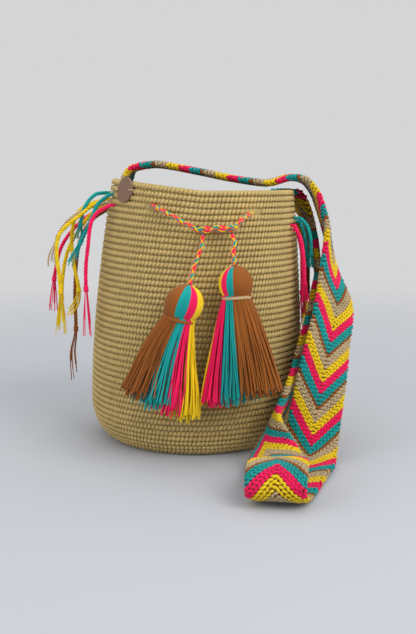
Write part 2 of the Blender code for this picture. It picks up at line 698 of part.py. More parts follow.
FRINGE = (
    ("left_fringe_yellow_front", "yellow",
     ((-0.107, -0.031, 0.251), (-0.121, -0.034, 0.240), (-0.135, -0.036, 0.229), (-0.144, -0.036, 0.217),
      (-0.146, -0.036, 0.199), (-0.144, -0.036, 0.178), (-0.143, -0.036, 0.151), (-0.145, -0.036, 0.108))),
    ("left_fringe_beige", "beige",
     ((-0.112, -0.019, 0.248), (-0.131, -0.024, 0.237), (-0.144, -0.024, 0.222), (-0.148, -0.024, 0.210),
      (-0.153, -0.024, 0.194), (-0.150, -0.024, 0.171))),
    ("left_fringe_teal_front", "teal",
     ((-0.101, -0.040, 0.252), (-0.106, -0.046, 0.240), (-0.111, -0.047, 0.229), (-0.118, -0.047, 0.215),
      (-0.125, -0.047, 0.200), (-0.131, -0.047, 0.184))),
    ("left_fringe_teal_back", "teal",
     ((-0.107, -0.014, 0.261), (-0.116, -0.024, 0.250), (-0.121, -0.028, 0.233), (-0.124, -0.028, 0.211))),
    ("left_fringe_yellow_middle", "yellow",
     ((-0.113, -0.006, 0.251), (-0.127, -0.012, 0.241), (-0.133, -0.014, 0.218), (-0.132, -0.014, 0.189),
      (-0.127, -0.014, 0.159), (-0.132, -0.014, 0.141), (-0.143, -0.014, 0.128))),
    ("left_fringe_yellow_back", "yellow",
     ((-0.113, 0.003, 0.241), (-0.134, -0.002, 0.212), (-0.143, -0.003, 0.188), (-0.147, -0.003, 0.157),
      (-0.149, -0.003, 0.104))),
    ("left_fringe_pink_front", "pink",
     ((-0.101, -0.051, 0.243), (-0.107, -0.055, 0.232), (-0.110, -0.056, 0.211), (-0.113, -0.056, 0.185),
      (-0.113, -0.056, 0.153), (-0.112, -0.056, 0.111))),
    ("left_fringe_pink_back", "pink",
     ((-0.113, 0.022, 0.241), (-0.130, 0.021, 0.229), (-0.149, 0.020, 0.205), (-0.158, 0.018, 0.172),
      (-0.162, 0.018, 0.127))),
    ("left_fringe_brown", "brown",
     ((-0.112, 0.012, 0.235), (-0.124, 0.012, 0.220), (-0.131, 0.012, 0.198), (-0.135, 0.012, 0.155),
      (-0.135, 0.012, 0.110), (-0.139, 0.012, 0.082), (-0.136, 0.012, 0.049))),
    ("right_fringe_teal_front", "teal",
     ((0.112, -0.033, 0.235), (0.118, -0.036, 0.226), (0.121, -0.036, 0.209), (0.121, -0.036, 0.181))),
    ("right_fringe_teal_back", "teal",
     ((0.114, -0.021, 0.224), (0.117, -0.023, 0.208), (0.118, -0.023, 0.183))),
    ("right_fringe_pink_front", "pink",
     ((0.109, -0.050, 0.215), (0.112, -0.053, 0.193), (0.113, -0.055, 0.172), (0.115, -0.060, 0.148))),
    ("right_fringe_pink_back", "pink",
     ((0.1105, -0.042, 0.204), (0.1115, -0.043, 0.178), (0.1120, -0.043, 0.152), (0.1135, -0.043, 0.125))),
    ("right_fringe_brown", "brown",
     ((0.118, -0.002, 0.220), (0.122, 0.002, 0.200), (0.123, 0.003, 0.167), (0.122, 0.003, 0.134))),
    ("right_fringe_yellow", "yellow",
     ((0.119, 0.012, 0.211), (0.122, 0.014, 0.178), (0.122, 0.015, 0.144), (0.122, 0.015, 0.101))),
)
FRINGE_EXITS = {
    "left_fringe_yellow_front": (194.5, 0.258), "left_fringe_beige": (188.0, 0.252),
    "left_fringe_teal_front": (201.5, 0.2618), "left_fringe_teal_back": (184.5, 0.263),
    "left_fringe_yellow_middle": (181.5, 0.2555), "left_fringe_yellow_back": (177.0, 0.2490),
    "left_fringe_pink_front": (206.5, 0.251), "left_fringe_pink_back": (167.5, 0.2480),
    "left_fringe_brown": (172.5, 0.2440), "right_fringe_teal_front": (343.0, 0.2370),
    "right_fringe_teal_back": (350.0, 0.2330), "right_fringe_pink_front": (335.5, 0.2300),
    "right_fringe_pink_back": (339.5, 0.2250), "right_fringe_brown": (357.5, 0.2300),
    "right_fringe_yellow": (5.0, 0.2270),
}


def make_fringe():
    """The strap's cords pass out through the wall and hang beside it."""
    for name, colour, route in FRINGE:
        angle, z = FRINGE_EXITS[name]
        clear = ROW_DEPTH / 2 - facet_depth(angle) + 3 * GAP
        start = around(angle, z, clear)
        lead = around(angle, z, clear + FRINGE_DIAMETER)
        through = [lead, *route]
        _, length = smooth_curve(through, 2)
        points, _ = smooth_curve(through, max(5, round(length / FRINGE_STEP)))
        tube(name, [tuple(start), *points], FRINGE_DIAMETER, colour)


def main():
    """Clears the scene and builds every piece of the bag."""
    for old in list(bpy.data.objects):
        bpy.data.objects.remove(old, do_unlink=True)
    make_body()
    make_strap()
    make_drawstring()
    make_knot()
    for side_name, route, shape in (("left", LEFT_CORD_ROUTE, LEFT_TASSEL),
                                    ("right", RIGHT_CORD_ROUTE, RIGHT_TASSEL)):
        points, _ = smooth_curve(route, 7)
        tube(f"{side_name}_tassel_cord", points, CORD_DIAMETER, "cord")
        make_tassel(side_name, route[-1], shape)
    make_tag()
    make_fringe()


main()
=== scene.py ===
# %% [markdown]
# # A crocheted bucket bag with a woven chevron strap
#
# The bag is worked in rows of single crochet, closed by a braided drawstring with two yarn
# tassels, and carried on a woven strap. The solids from CAD are the frame: each soft one is
# replaced here by yarn that lies where its solid lies. Metres throughout, but for the routes in
# tables, which are in millimetres. +Z is up and the front is at -Y.

# %% Load the frame
import json
import math
import random

import bmesh
import bpy
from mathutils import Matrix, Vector

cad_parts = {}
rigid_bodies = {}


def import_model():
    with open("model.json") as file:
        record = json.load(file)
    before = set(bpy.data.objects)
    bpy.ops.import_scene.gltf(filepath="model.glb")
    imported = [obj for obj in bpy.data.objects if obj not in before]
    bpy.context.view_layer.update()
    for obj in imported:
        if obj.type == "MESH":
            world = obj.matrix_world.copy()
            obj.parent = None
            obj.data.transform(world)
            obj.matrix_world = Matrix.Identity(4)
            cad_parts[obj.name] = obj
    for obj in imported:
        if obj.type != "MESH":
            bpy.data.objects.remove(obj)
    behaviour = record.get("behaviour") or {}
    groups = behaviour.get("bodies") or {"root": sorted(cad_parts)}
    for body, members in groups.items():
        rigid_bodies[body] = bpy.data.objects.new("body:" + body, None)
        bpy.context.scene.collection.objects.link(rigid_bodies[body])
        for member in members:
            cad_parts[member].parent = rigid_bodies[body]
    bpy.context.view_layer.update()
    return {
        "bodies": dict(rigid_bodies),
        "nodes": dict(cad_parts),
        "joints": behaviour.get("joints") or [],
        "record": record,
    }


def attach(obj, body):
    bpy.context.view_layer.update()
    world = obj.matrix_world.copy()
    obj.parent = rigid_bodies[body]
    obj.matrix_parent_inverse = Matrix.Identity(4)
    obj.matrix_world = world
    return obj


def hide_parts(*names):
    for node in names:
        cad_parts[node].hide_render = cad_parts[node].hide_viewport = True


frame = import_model()

# %% [markdown]
# ## Camera
#
# The photograph looks slightly down at the front of the bag, from about a metre away. A 50 mm
# lens on a frame 36 mm high gives its mild perspective.

# %% Place the camera
CAMERA_PLACE = (0.013, -0.96, 0.28)
CAMERA_PITCH = math.radians(9.06)


def stand(name, data):
    """Puts a mesh, a lamp or a lens into the scene as an object."""
    made = bpy.data.objects.new(name, data)
    bpy.context.scene.collection.objects.link(made)
    return made


lens = bpy.data.cameras.new("camera")
lens.lens = 50.0
lens.sensor_width = 36.0
camera = stand("camera", lens)
camera.location = CAMERA_PLACE
camera.rotation_euler = (math.pi / 2 - CAMERA_PITCH, 0.0, 0.0)
bpy.context.scene.camera = camera

# %% [markdown]
# ## One way to write node trees
#
# Both shaders and geometry are node trees. One class adds any node from its type, its settings
# and its sockets, and a small class wraps a socket so that maths reads as Python.


# %% Node helpers
class Value:
    """A number that comes out of a node; the usual operators add Math nodes."""

    def __init__(self, graph, socket):
        self.graph = graph
        self.socket = socket

    def __add__(self, other):
        return self.graph.math("ADD", self, other)

    def __mul__(self, other):
        return self.graph.math("MULTIPLY", self, other)

    __radd__ = __add__
    __rmul__ = __mul__


class Graph:
    """Adds nodes to one tree."""

    def __init__(self, tree):
        self.tree = tree

    def node(self, kind, settings=None, inputs=None):
        made = self.tree.nodes.new(kind)
        for name, value in (settings or {}).items():
            setattr(made, name, value)
        for key, value in (inputs or {}).items():
            self.feed(made.inputs[key], value)
        return made

    def feed(self, socket, value):
        if isinstance(value, Value):
            value = value.socket
        if isinstance(value, bpy.types.Node):
            value = value.outputs[0]
        if isinstance(value, bpy.types.NodeSocket):
            self.tree.links.new(value, socket)
        else:
            socket.default_value = value

    def value(self, kind, settings=None, inputs=None, output=0):
        return Value(self, self.node(kind, settings, inputs).outputs[output])

    def math(self, operation, *values):
        made = self.node("ShaderNodeMath", {"operation": operation})
        for socket, value in zip(made.inputs, values):
            self.feed(socket, value)
        return Value(self, made.outputs[0])


# %% [markdown]
# ## Yarn finishes
#
# Cotton yarn is matt, soft at its edges and never one flat colour: each ply catches the light
# differently and fine fibres stand up from it. One recipe makes every yarn: the dye colour is
# lightened and darkened by two noises, a fine streak along the yarn gives the bump, and a little
# sheen softens the outline. A "shade" attribute on the mesh makes strands differ at random; it
# also carries painted shade, darkening the wall, the strap's band and the inner tassel strands.

# %% Make the yarn finishes
DYES = {
    "beige": (0.53, 0.392, 0.15),
    "sand": (0.52, 0.39, 0.21),
    "brown": (0.295, 0.088, 0.01),
    "teal": (0.004, 0.33, 0.315),
    "pink": (0.88, 0.006, 0.105),
    "yellow": (0.85, 0.6, 0.006),
    "orange": (0.9, 0.15, 0.03),
}
FIBRE_SCALE = 900.0
FIBRE_RELIEF = 0.0004
SHADE_DEPTH = 0.35


def mix(graph, blend, factor, first, second):
    """Two colours together; the Mix node names its colour sockets by number."""
    made = graph.node("ShaderNodeMix", {"data_type": "RGBA", "blend_type": blend})
    for index, value in ((0, factor), (6, first), (7, second)):
        graph.feed(made.inputs[index], value)
    return made.outputs[2]


def new_finish(name):
    """A material with the graph that fills it, and its shader node."""
    material = bpy.data.materials.new(name)
    material.use_nodes = True
    return material, Graph(material.node_tree), material.node_tree.nodes["Principled BSDF"]


def yarn_material(name, dye=None, shaded=True):
    """A cotton yarn in one dye, or in the mesh's own "dye" colours."""
    material, graph, shader = new_finish(name)
    place = graph.node("ShaderNodeTexCoord").outputs["Object"]
    fine = graph.value("ShaderNodeTexNoise", inputs={
        "Vector": place, "Scale": FIBRE_SCALE, "Detail": 3.0, "Roughness": 0.6})
    broad = graph.value("ShaderNodeTexNoise", inputs={"Vector": place, "Scale": 38.0, "Detail": 2.0})
    if dye is None:
        colour = graph.node("ShaderNodeAttribute", {"attribute_name": "dye"}).outputs["Color"]
    else:
        colour = graph.node("ShaderNodeRGB").outputs[0]
        colour.default_value = (*dye, 1.0)
    light = 1.0 - SHADE_DEPTH + SHADE_DEPTH * (fine + broad)
    if shaded:
        light *= graph.value("ShaderNodeAttribute", {"attribute_name": "shade"}, output="Fac")
    grey = graph.node("ShaderNodeCombineColor", inputs={"Red": light, "Green": light, "Blue": light})
    graph.feed(shader.inputs["Base Color"], mix(graph, "MULTIPLY", 1.0, colour, grey))
    graph.feed(shader.inputs["Roughness"], 0.78 + 0.16 * fine)
    relief = graph.node("ShaderNodeBump", inputs={
        "Strength": 0.6, "Distance": FIBRE_RELIEF, "Height": fine})
    graph.feed(shader.inputs["Normal"], relief)
    for socket, value in (("Sheen Weight", 0.08), ("Sheen Roughness", 0.5),
                          ("Specular IOR Level", 0.25)):
        shader.inputs[socket].default_value = value
    return material


YARN = {name: yarn_material(name + "_yarn_finish", dye) for name, dye in DYES.items()}
MIXED_YARN = yarn_material("mixed_yarn_finish")
print("yarn finishes:", len(YARN) + 1)

# %% [markdown]
# ## Two trees of geometry nodes
#
# Everything on this bag is yarn that follows a line. The first tree turns guide lines into round
# yarn. The second sets a small link, the visible part of one stitch, again and again along them.
# Guide lines are plain edges with attributes: which way is outwards, how far a stitch leans, the
# dye, and how light the strand is.


# %% Trees for yarn and for links
def geometry_tree(name, sockets):
    """An empty tree with one geometry input, named inputs and one geometry output."""
    tree = bpy.data.node_groups.new(name, "GeometryNodeTree")
    tree.interface.new_socket("Geometry", in_out="INPUT", socket_type="NodeSocketGeometry")
    for label, kind in sockets:
        tree.interface.new_socket(label, in_out="INPUT", socket_type=kind)
    tree.interface.new_socket("Geometry", in_out="OUTPUT", socket_type="NodeSocketGeometry")
    graph = Graph(tree)
    return graph, graph.node("NodeGroupInput").outputs


def finish_tree(graph, geometry, material):
    """Smooth, realised and with its finish, so that the mesh is plain."""
    smooth = graph.node("GeometryNodeSetShadeSmooth", inputs={"Geometry": geometry})
    real = graph.node("GeometryNodeRealizeInstances", inputs={"Geometry": smooth})
    done = graph.node("GeometryNodeSetMaterial", inputs={
        "Geometry": real, "Material": material})
    graph.node("NodeGroupOutput", inputs={0: done})
    return graph.tree


def named(graph, name, kind="FLOAT"):
    return graph.node("GeometryNodeInputNamedAttribute", {"data_type": kind}, {"Name": name})


def yarn_tree():
    graph, given = geometry_tree("yarn_along_lines", (
        ("Radius", "NodeSocketFloat"), ("Sides", "NodeSocketInt"), ("Finish", "NodeSocketMaterial")))
    lines = graph.node("GeometryNodeMeshToCurve", inputs={"Mesh": given["Geometry"]})
    girth = graph.math("MULTIPLY", given["Radius"], named(graph, "girth"))
    profile = graph.node("GeometryNodeCurvePrimitiveCircle", inputs={
        "Resolution": given["Sides"], "Radius": 1.0})
    tube = graph.node("GeometryNodeCurveToMesh", inputs={
        "Curve": lines, "Profile Curve": profile, "Scale": girth,
        "Fill Caps": True})
    return finish_tree(graph, tube, given["Finish"])


def link_tree():
    graph, given = geometry_tree("links_along_lines", (
        ("Spacing", "NodeSocketFloat"), ("Size", "NodeSocketVector"), ("Seed", "NodeSocketInt"),
        ("Finish", "NodeSocketMaterial")))
    lines = graph.node("GeometryNodeMeshToCurve", inputs={"Mesh": given["Geometry"]})
    spaced = graph.node("GeometryNodeResampleCurve", {"mode": "LENGTH"}, {
        "Curve": lines, "Length": given["Spacing"]})
    drop = graph.node("GeometryNodeMeshUVSphere", inputs={"Segments": 5, "Rings": 4, "Radius": 1.0})
    lying = graph.node("GeometryNodeTransform", inputs={
        "Geometry": drop, "Rotation": (0.0, math.pi / 2, 0.0)})
    link = graph.node("GeometryNodeTransform", inputs={
        "Geometry": lying, "Scale": given["Size"]})
    up = graph.node("FunctionNodeAlignRotationToVector", {"axis": "Z"}, {
        "Vector": named(graph, "outwards", "FLOAT_VECTOR")})
    along = graph.node("FunctionNodeAlignRotationToVector", {"axis": "X", "pivot_axis": "Z"}, {
        "Rotation": up, "Vector": graph.node("GeometryNodeInputTangent")})
    lean = graph.node("FunctionNodeAxisAngleToRotation", inputs={
        "Axis": (0.0, 0.0, 1.0), "Angle": named(graph, "lean")})
    turned = graph.node("FunctionNodeRotateRotation", {"rotation_space": "LOCAL"}, {
        "Rotation": along, "Rotate By": lean})
    uneven = graph.node("FunctionNodeRandomValue", {"data_type": "FLOAT"}, {
        "Min": 0.9, "Max": 1.1, "Seed": given["Seed"]})
    kept = graph.math("GREATER_THAN", named(graph, "keep"), 0.5)
    links = graph.node("GeometryNodeInstanceOnPoints", inputs={
        "Points": spaced, "Selection": kept, "Instance": link,
        "Rotation": turned, "Scale": uneven.outputs[1]})
    return finish_tree(graph, links, given["Finish"])


YARN_TREE = yarn_tree()
LINK_TREE = link_tree()


# %% Guide lines and how they grow
def guide_mesh(name, lines):
    """Edges through each line's points; a line is its points, its attributes and whether it closes."""
    points, edges, starts = [], [], []
    for line, attributes, closed in lines:
        first = len(points)
        points += [tuple(point) for point in line]
        edges += [(first + i, first + i + 1) for i in range(len(line) - 1)]
        if closed:
            edges.append((first + len(line) - 1, first))
        starts.append(first)
    mesh = bpy.data.meshes.new(name)
    mesh.from_pydata(points, edges, [])
    for label, kind, plain in (("girth", "FLOAT", 1.0), ("shade", "FLOAT", 1.0), ("lean", "FLOAT", 0.0),
                               ("keep", "FLOAT", 1.0), ("outwards", "FLOAT_VECTOR", (0.0, 0.0, 1.0)),
                               ("dye", "FLOAT_COLOR", (1.0, 1.0, 1.0, 1.0))):
        layer = mesh.attributes.new(label, kind, "POINT")
        field = {"FLOAT": "value", "FLOAT_VECTOR": "vector", "FLOAT_COLOR": "color"}[kind]
        for first, (line, attributes, _) in zip(starts, lines):
            value = attributes.get(label, plain)
            for i in range(len(line)):
                setattr(layer.data[first + i], field, value[i] if isinstance(value, list) else value)
    return mesh


def grow(name, lines, tree, values):
    """Runs one tree on guide lines and keeps the result as a plain mesh at the origin."""
    carrier = stand(name + "_guide", guide_mesh(name + "_guide", lines))
    modifier = carrier.modifiers.new("grow", "NODES")
    modifier.node_group = tree
    for item in tree.interface.items_tree:
        if item.item_type == "SOCKET" and item.in_out == "INPUT" and item.name in values:
            modifier[item.identifier] = values[item.name]
    depsgraph = bpy.context.evaluated_depsgraph_get()
    mesh = bpy.data.meshes.new_from_object(carrier.evaluated_get(depsgraph), depsgraph=depsgraph)
    bpy.data.objects.remove(carrier, do_unlink=True)
    print(name, "triangles:", sum(len(face.vertices) - 2 for face in mesh.polygons))
    return stand(name, mesh)


def yarn(name, lines, radius, finish, sides=5):
    return grow(name, lines, YARN_TREE, {"Radius": radius, "Sides": sides, "Finish": finish})


def links(name, lines, spacing, size, finish, seed):
    return grow(name, lines, LINK_TREE, {
        "Spacing": spacing, "Size": size, "Finish": finish, "Seed": seed})


# %% [markdown]
# ## Lines to follow
#
# A cord's route is given by a few points. A Catmull-Rom curve through them, sampled evenly, is
# what the yarn follows. A frame that is carried along it without twisting says which way is
# sideways, so strands can wind round it.


# %% Curves and frames
CURVE_STEPS = 24


def metres(point):
    """Routes are written in millimetres."""
    return tuple(number / 1000 for number in point)


def resampled(dense, count):
    """So many points at even distances along a line of close points, and its length."""
    lengths = [0.0]
    for a, b in zip(dense, dense[1:]):
        lengths.append(lengths[-1] + math.dist(a[:3], b[:3]))
    spaced = []
    k = 0
    for index in range(count):
        target = lengths[-1] * index / (count - 1)
        while k < len(lengths) - 2 and lengths[k + 1] < target:
            k += 1
        part = (target - lengths[k]) / max(lengths[k + 1] - lengths[k], 1e-9)
        spaced.append(tuple(a + (b - a) * part for a, b in zip(dense[k], dense[k + 1])))
    return spaced, lengths[-1]


def smooth_curve(points, count):
    """Evenly spaced points on a Catmull-Rom curve, in as many numbers as the points have."""
    points = [tuple(point) for point in points]
    size = len(points[0])
    first = tuple(2 * a - b for a, b in zip(points[0], points[1]))
    last = tuple(2 * a - b for a, b in zip(points[-1], points[-2]))
    ends = [first] + points + [last]
    dense = []
    for p0, p1, p2, p3 in zip(ends, ends[1:], ends[2:], ends[3:]):
        for step in range(CURVE_STEPS):
            t = step / CURVE_STEPS
            dense.append(tuple(
                0.5 * (2 * p1[i] + (p2[i] - p0[i]) * t
                       + (2 * p0[i] - 5 * p1[i] + 4 * p2[i] - p3[i]) * t * t
                       + (3 * p1[i] - p0[i] - 3 * p2[i] + p3[i]) * t * t * t)
                for i in range(size)))
    dense.append(points[-1])
    return resampled(dense, count)


def sampled(points, step):
    """The curve through the points, with a point about every step."""
    _, length = smooth_curve(points, 2)
    spaced, _ = smooth_curve(points, max(4, round(length / step) + 1))
    return [Vector(point) for point in spaced]


def carried_frames(path):
    """Each point with two directions across the path, carried along without twist."""
    frames = []
    side = None
    for index, point in enumerate(path):
        forward = (path[min(index + 1, len(path) - 1)] - path[max(index - 1, 0)]).normalized()
        if side is None:
            side = forward.orthogonal()
        side = (side - forward * side.dot(forward)).normalized()
        frames.append((point, side, forward.cross(side)))
    return frames


def distances(path):
    """How far along the path each of its points lies."""
    travelled = [0.0]
    for a, b in zip(path, path[1:]):
        travelled.append(travelled[-1] + (b - a).length)
    return travelled


def beside(point, side, up, reach, turn):
    return point + side * (reach * math.cos(turn)) + up * (reach * math.sin(turn))


def winding(path, reach, turns_per_metre, start, attributes):
    """One strand that winds round the path at a distance."""
    line = [beside(*frame, reach, start + 2 * math.pi * turns_per_metre * travelled)
            for frame, travelled in zip(carried_frames(path), distances(path))]
    return line, attributes, False


# %% [markdown]
# ## Shape of the bag
#
# The body follows the same rule as its solid: a flat base, a round corner, and a side that tapers
# towards the rim and leans a little to the right. The upper rows rise at the left and sink under
# the strap at the right.

# %% Rules of the body
BASE_RADIUS = 0.088
WIDEST_RADIUS = 0.1145
CORNER_HEIGHT = 0.042
RIM_RADIUS = 0.0964
RIM_HEIGHT = 0.2665
WALL = 0.004
FLOOR_THICKNESS = 0.005
TAPER_POWER = 1.78
LEAN = 0.0078
LEFT_LIFT = 0.012
BACK_DROP = 0.006
SEAT_DIP = 0.013
SEAT_SPREAD = 24.0
SEAT_ANGLE = 22.0
ROW_PITCH = 0.006
ROW_DEPTH = 0.0015
EYELETS = ((240.0, 0.251), (301.0, 0.246), (120.0, 0.236), (60.0, 0.236))
PROFILE_STEPS = 400


def body_radius(z):
    if z < CORNER_HEIGHT:
        rise = max(0.0, z) / CORNER_HEIGHT
        return BASE_RADIUS + (WIDEST_RADIUS - BASE_RADIUS) * math.sqrt(1 - (1 - rise) ** 2)
    part = (z - CORNER_HEIGHT) / (RIM_HEIGHT - CORNER_HEIGHT)
    return WIDEST_RADIUS - (WIDEST_RADIUS - RIM_RADIUS) * part ** TAPER_POWER


def body_centre(z):
    part = max(0.0, (z - CORNER_HEIGHT) / (RIM_HEIGHT - CORNER_HEIGHT))
    return LEAN * part ** 1.5


def rim_height(angle):
    turn = math.radians(angle)
    away = (angle - SEAT_ANGLE + 180) % 360 - 180
    dip = SEAT_DIP * math.exp(-(away / SEAT_SPREAD) ** 4)
    rise = LEFT_LIFT * max(0.0, -math.cos(turn))
    drop = BACK_DROP * max(0.0, math.sin(turn))
    return RIM_HEIGHT + rise - drop - dip


def lifted_height(angle, row):
    return row * (1 + (rim_height(angle) / RIM_HEIGHT - 1) * (row / RIM_HEIGHT) ** 2)


def on_row(angle, row, offset=0.0):
    """The point of a row at an angle, offset outwards."""
    turn = math.radians(angle)
    radius = body_radius(row) + offset
    return Vector((body_centre(row) + radius * math.cos(turn), radius * math.sin(turn),
                   lifted_height(angle, row)))


def around(angle, z, offset=0.0):
    """The point at an angle and a true height, offset outwards."""
    row = z
    for _ in range(8):
        row += z - lifted_height(angle, row)
    point = on_row(angle, row, offset)
    point.z = z
    return point


def row_heights():
    """Heights between and on the rows, evenly spaced along the curved side."""
    levels = [RIM_HEIGHT * i / PROFILE_STEPS for i in range(PROFILE_STEPS + 1)]
    profile = [(body_radius(level), level) for level in levels]
    _, length = resampled(profile, 2)
    spaced, _ = resampled(profile, 2 * round(length / ROW_PITCH) + 1)
    return [level for _, level in spaced]


HEIGHTS = row_heights()
print("rows of crochet:", len(HEIGHTS) // 2)

# %% [markdown]
# ## Cords of the fringe
#
# The strap's cords pass out through the wall and hang beside it. Each is twisted from three
# plies, ends in an overhand knot and frays into loose strands below it. They are free cords, so
# they come first: their real length is measured along the route.

# %% Make the fringes
FRINGE_DIAMETER = 0.0042
FACET_SIDES = 24
FACET_DEPTH = WIDEST_RADIUS * (1 - math.cos(math.pi / FACET_SIDES))
KNOT_POINTS = 28
LOOSE_STRANDS = 9
FRINGE = (
    ("left_fringe_yellow_front", "yellow", 160, (194.5, 258),
     ((-107, -31, 251), (-121, -34, 240), (-135, -36, 229), (-144, -36, 217), (-146, -36, 199),
      (-144, -36, 178), (-143, -36, 151), (-145, -36, 108))),
    ("left_fringe_beige", "sand", 217, (188.0, 252),
     ((-112, -19, 248), (-131, -24, 237), (-144, -24, 222), (-148, -24, 210), (-153, -24, 194),
      (-150, -24, 171))),
    ("left_fringe_teal_front", "teal", 214, (201.5, 261.8),
     ((-101, -40, 252), (-106, -46, 240), (-111, -47, 229), (-118, -47, 215), (-125, -47, 200),
      (-131, -47, 184))),
    ("left_fringe_teal_back", "teal", 230, (184.5, 263),
     ((-107, -14, 261), (-116, -24, 250), (-121, -28, 233), (-124, -28, 211))),
    ("left_fringe_yellow_middle", "yellow", 160, (181.5, 255.5),
     ((-113, -6, 251), (-127, -12, 241), (-133, -14, 218), (-132, -14, 189), (-127, -14, 159),
      (-132, -14, 141), (-143, -14, 128))),
    ("left_fringe_yellow_back", "yellow", 150, (177.0, 249),
     ((-113, 3, 241), (-134, -2, 212), (-143, -3, 188), (-147, -3, 157), (-149, -3, 104))),
    ("left_fringe_pink_front", "pink", 165, (206.5, 251),
     ((-101, -51, 243), (-107, -55, 232), (-110, -56, 211), (-113, -56, 185), (-113, -56, 153),
      (-112, -56, 111))),
    ("left_fringe_pink_back", "pink", 168, (167.5, 248),
     ((-113, 22, 241), (-130, 21, 229), (-149, 20, 205), (-158, 18, 172), (-162, 18, 127))),
    ("left_fringe_brown", "brown", 112, (172.5, 244),
     ((-112, 12, 235), (-124, 12, 220), (-131, 12, 198), (-135, 12, 155), (-135, 12, 110),
      (-139, 12, 82), (-136, 12, 49))),
    ("right_fringe_teal_front", "teal", 200, (343.0, 237),
     ((112, -33, 235), (118, -36, 226), (121, -36, 209), (121, -36, 181))),
    ("right_fringe_teal_back", "teal", 196, (350.0, 233),
     ((114, -21, 224), (117, -23, 208), (118, -23, 183))),
    ("right_fringe_pink_front", "pink", 170, (335.5, 230),
     ((109, -50, 215), (112, -53, 193), (113, -55, 172), (115, -60, 148))),
    ("right_fringe_pink_back", "pink", 160, (339.5, 225),
     ((110.5, -42, 204), (111.5, -43, 178), (112, -43, 152), (113.5, -43, 125))),
    ("right_fringe_brown", "brown", 160, (357.5, 230),
     ((118, -2, 220), (122, 2, 200), (123, 3, 167), (122, 3, 134))),
    ("right_fringe_yellow", "yellow", 140, (5.0, 227),
     ((119, 12, 211), (122, 14, 178), (122, 15, 144), (122, 15, 101))),
)


def overhand_knot(centre, down, side, size):
    """A small tight loop of yarn tied on itself: a trefoil line."""
    across = down.cross(side)
    line = []
    for step in range(KNOT_POINTS):
        t = 2 * math.pi * step / KNOT_POINTS
        u = (math.sin(t) + 2 * math.sin(2 * t)) / 3
        v = (math.cos(t) - 2 * math.cos(2 * t)) / 3
        w = -math.sin(3 * t) / 2
        line.append(centre + across * (u * size) + down * (v * size) + side * (w * size))
    return line, {}, True


def frayed_strands(route, count, spread, chance):
    """Loose strands that follow the end of the route and wander apart."""
    lines = []
    for index in range(count):
        turn = 2 * math.pi * index / count + chance.uniform(-0.4, 0.4)
        reach = spread * chance.uniform(0.4, 1.0)
        stop = chance.uniform(0.62, 1.0)
        curl = chance.uniform(-0.5, 0.5)
        line = []
        for k, point in enumerate(route):
            part = k / (len(route) - 1)
            if part > stop and len(line) > 3:
                break
            away = reach * part ** 0.8
            bend = turn + curl * part
            line.append(point + Vector((math.cos(bend), math.sin(bend), 0.0)) * (0.0008 + away))
        lines.append((line, {"shade": chance.uniform(0.85, 1.12)}, False))
    return lines


def fringe_start(angle, z):
    """Just outside the solid's flat side at that angle, and one diameter further out."""
    half = math.pi / FACET_SIDES
    off_middle = math.radians(angle) % (2 * half) - half
    clear = ROW_DEPTH / 2 - WIDEST_RADIUS * (1 - math.cos(half) / math.cos(off_middle)) + 0.0009
    return around(angle, z, clear), around(angle, z, clear + FRINGE_DIAMETER)


def make_fringe(name, dye, knot_height, outlet, route, seed):
    """One cord of the table, which gives heights and the route in millimetres."""
    chance = random.Random(seed)
    angle, height = outlet
    start, lead = fringe_start(angle, height / 1000)
    path = [start] + sampled([lead, *map(metres, route)], 0.0015)
    below = (k for k, point in enumerate(path) if k > 8 and point.z < knot_height / 1000)
    knot = next(below, len(path) - 6)
    cord_path = path[:knot + 1]
    plies = [winding(cord_path, 0.00105, 85.0, 2 * math.pi * ply / 3,
                     {"shade": 0.88 + 0.1 * ply}) for ply in range(3)]
    piece = yarn(name + "_twist", plies, 0.00115, YARN[dye], 6)
    down = (path[knot] - path[knot - 2]).normalized()
    loop = overhand_knot(path[knot], down, down.orthogonal().normalized(), 0.0024)
    tie = yarn(name + "_knot", [loop], 0.0013, YARN[dye], 6)
    loose = frayed_strands(path[knot::3], LOOSE_STRANDS, 0.0065, chance)
    tail = yarn(name + "_loose_strands", loose, 0.00055, YARN[dye], 4)
    for part in (piece, tie, tail):
        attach(part, "bag")
        ("beige" if dye == "sand" else dye) + "_yarn"
    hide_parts(name)
    distances(cord_path)[-1]


for number, entry in enumerate(FRINGE):
    make_fringe(*entry, 20 + number)

# %% [markdown]
# ## Braided drawstring
#
# The drawstring is a round braid of eight yarns: four wind one way, four the other, and they
# pass over and under each other. The same braid hangs down to each tassel.

# %% Make the drawstring
CORD_DIAMETER = 0.0046
CORD_STEP = 0.0012
STRAND_RADIUS = 0.00078
BRAID_DYES = ("pink", "yellow", "teal", "orange")
BRAID_TURNS = 62.0
THREADING_ARC = 0.022
STRING_LOW = 0.223
BACK_STRING = 0.236
LEFT_FRONT_ROUTE = ((-0.01, -0.11, 0.236), (-0.0225, -0.1075, 0.243))
RIGHT_FRONT_ROUTE = ((0.0465, -0.103, 0.239),)
KNOT_LEFT = Vector((0.0035, -0.1092, 0.229))
KNOT_RIGHT = Vector((0.0385, -0.1085, 0.231))
HANGING = {
    "left": ((0.008, -0.11, 0.2248), (0.0064, -0.114, 0.213), (0.002, -0.12, 0.201),
             (-0.0016, -0.1255, 0.19), (-0.0042, -0.13, 0.179)),
    "right": ((0.0352, -0.11, 0.2262), (0.0384, -0.1138, 0.217), (0.0372, -0.118, 0.208),
              (0.0384, -0.1225, 0.1965)),
}


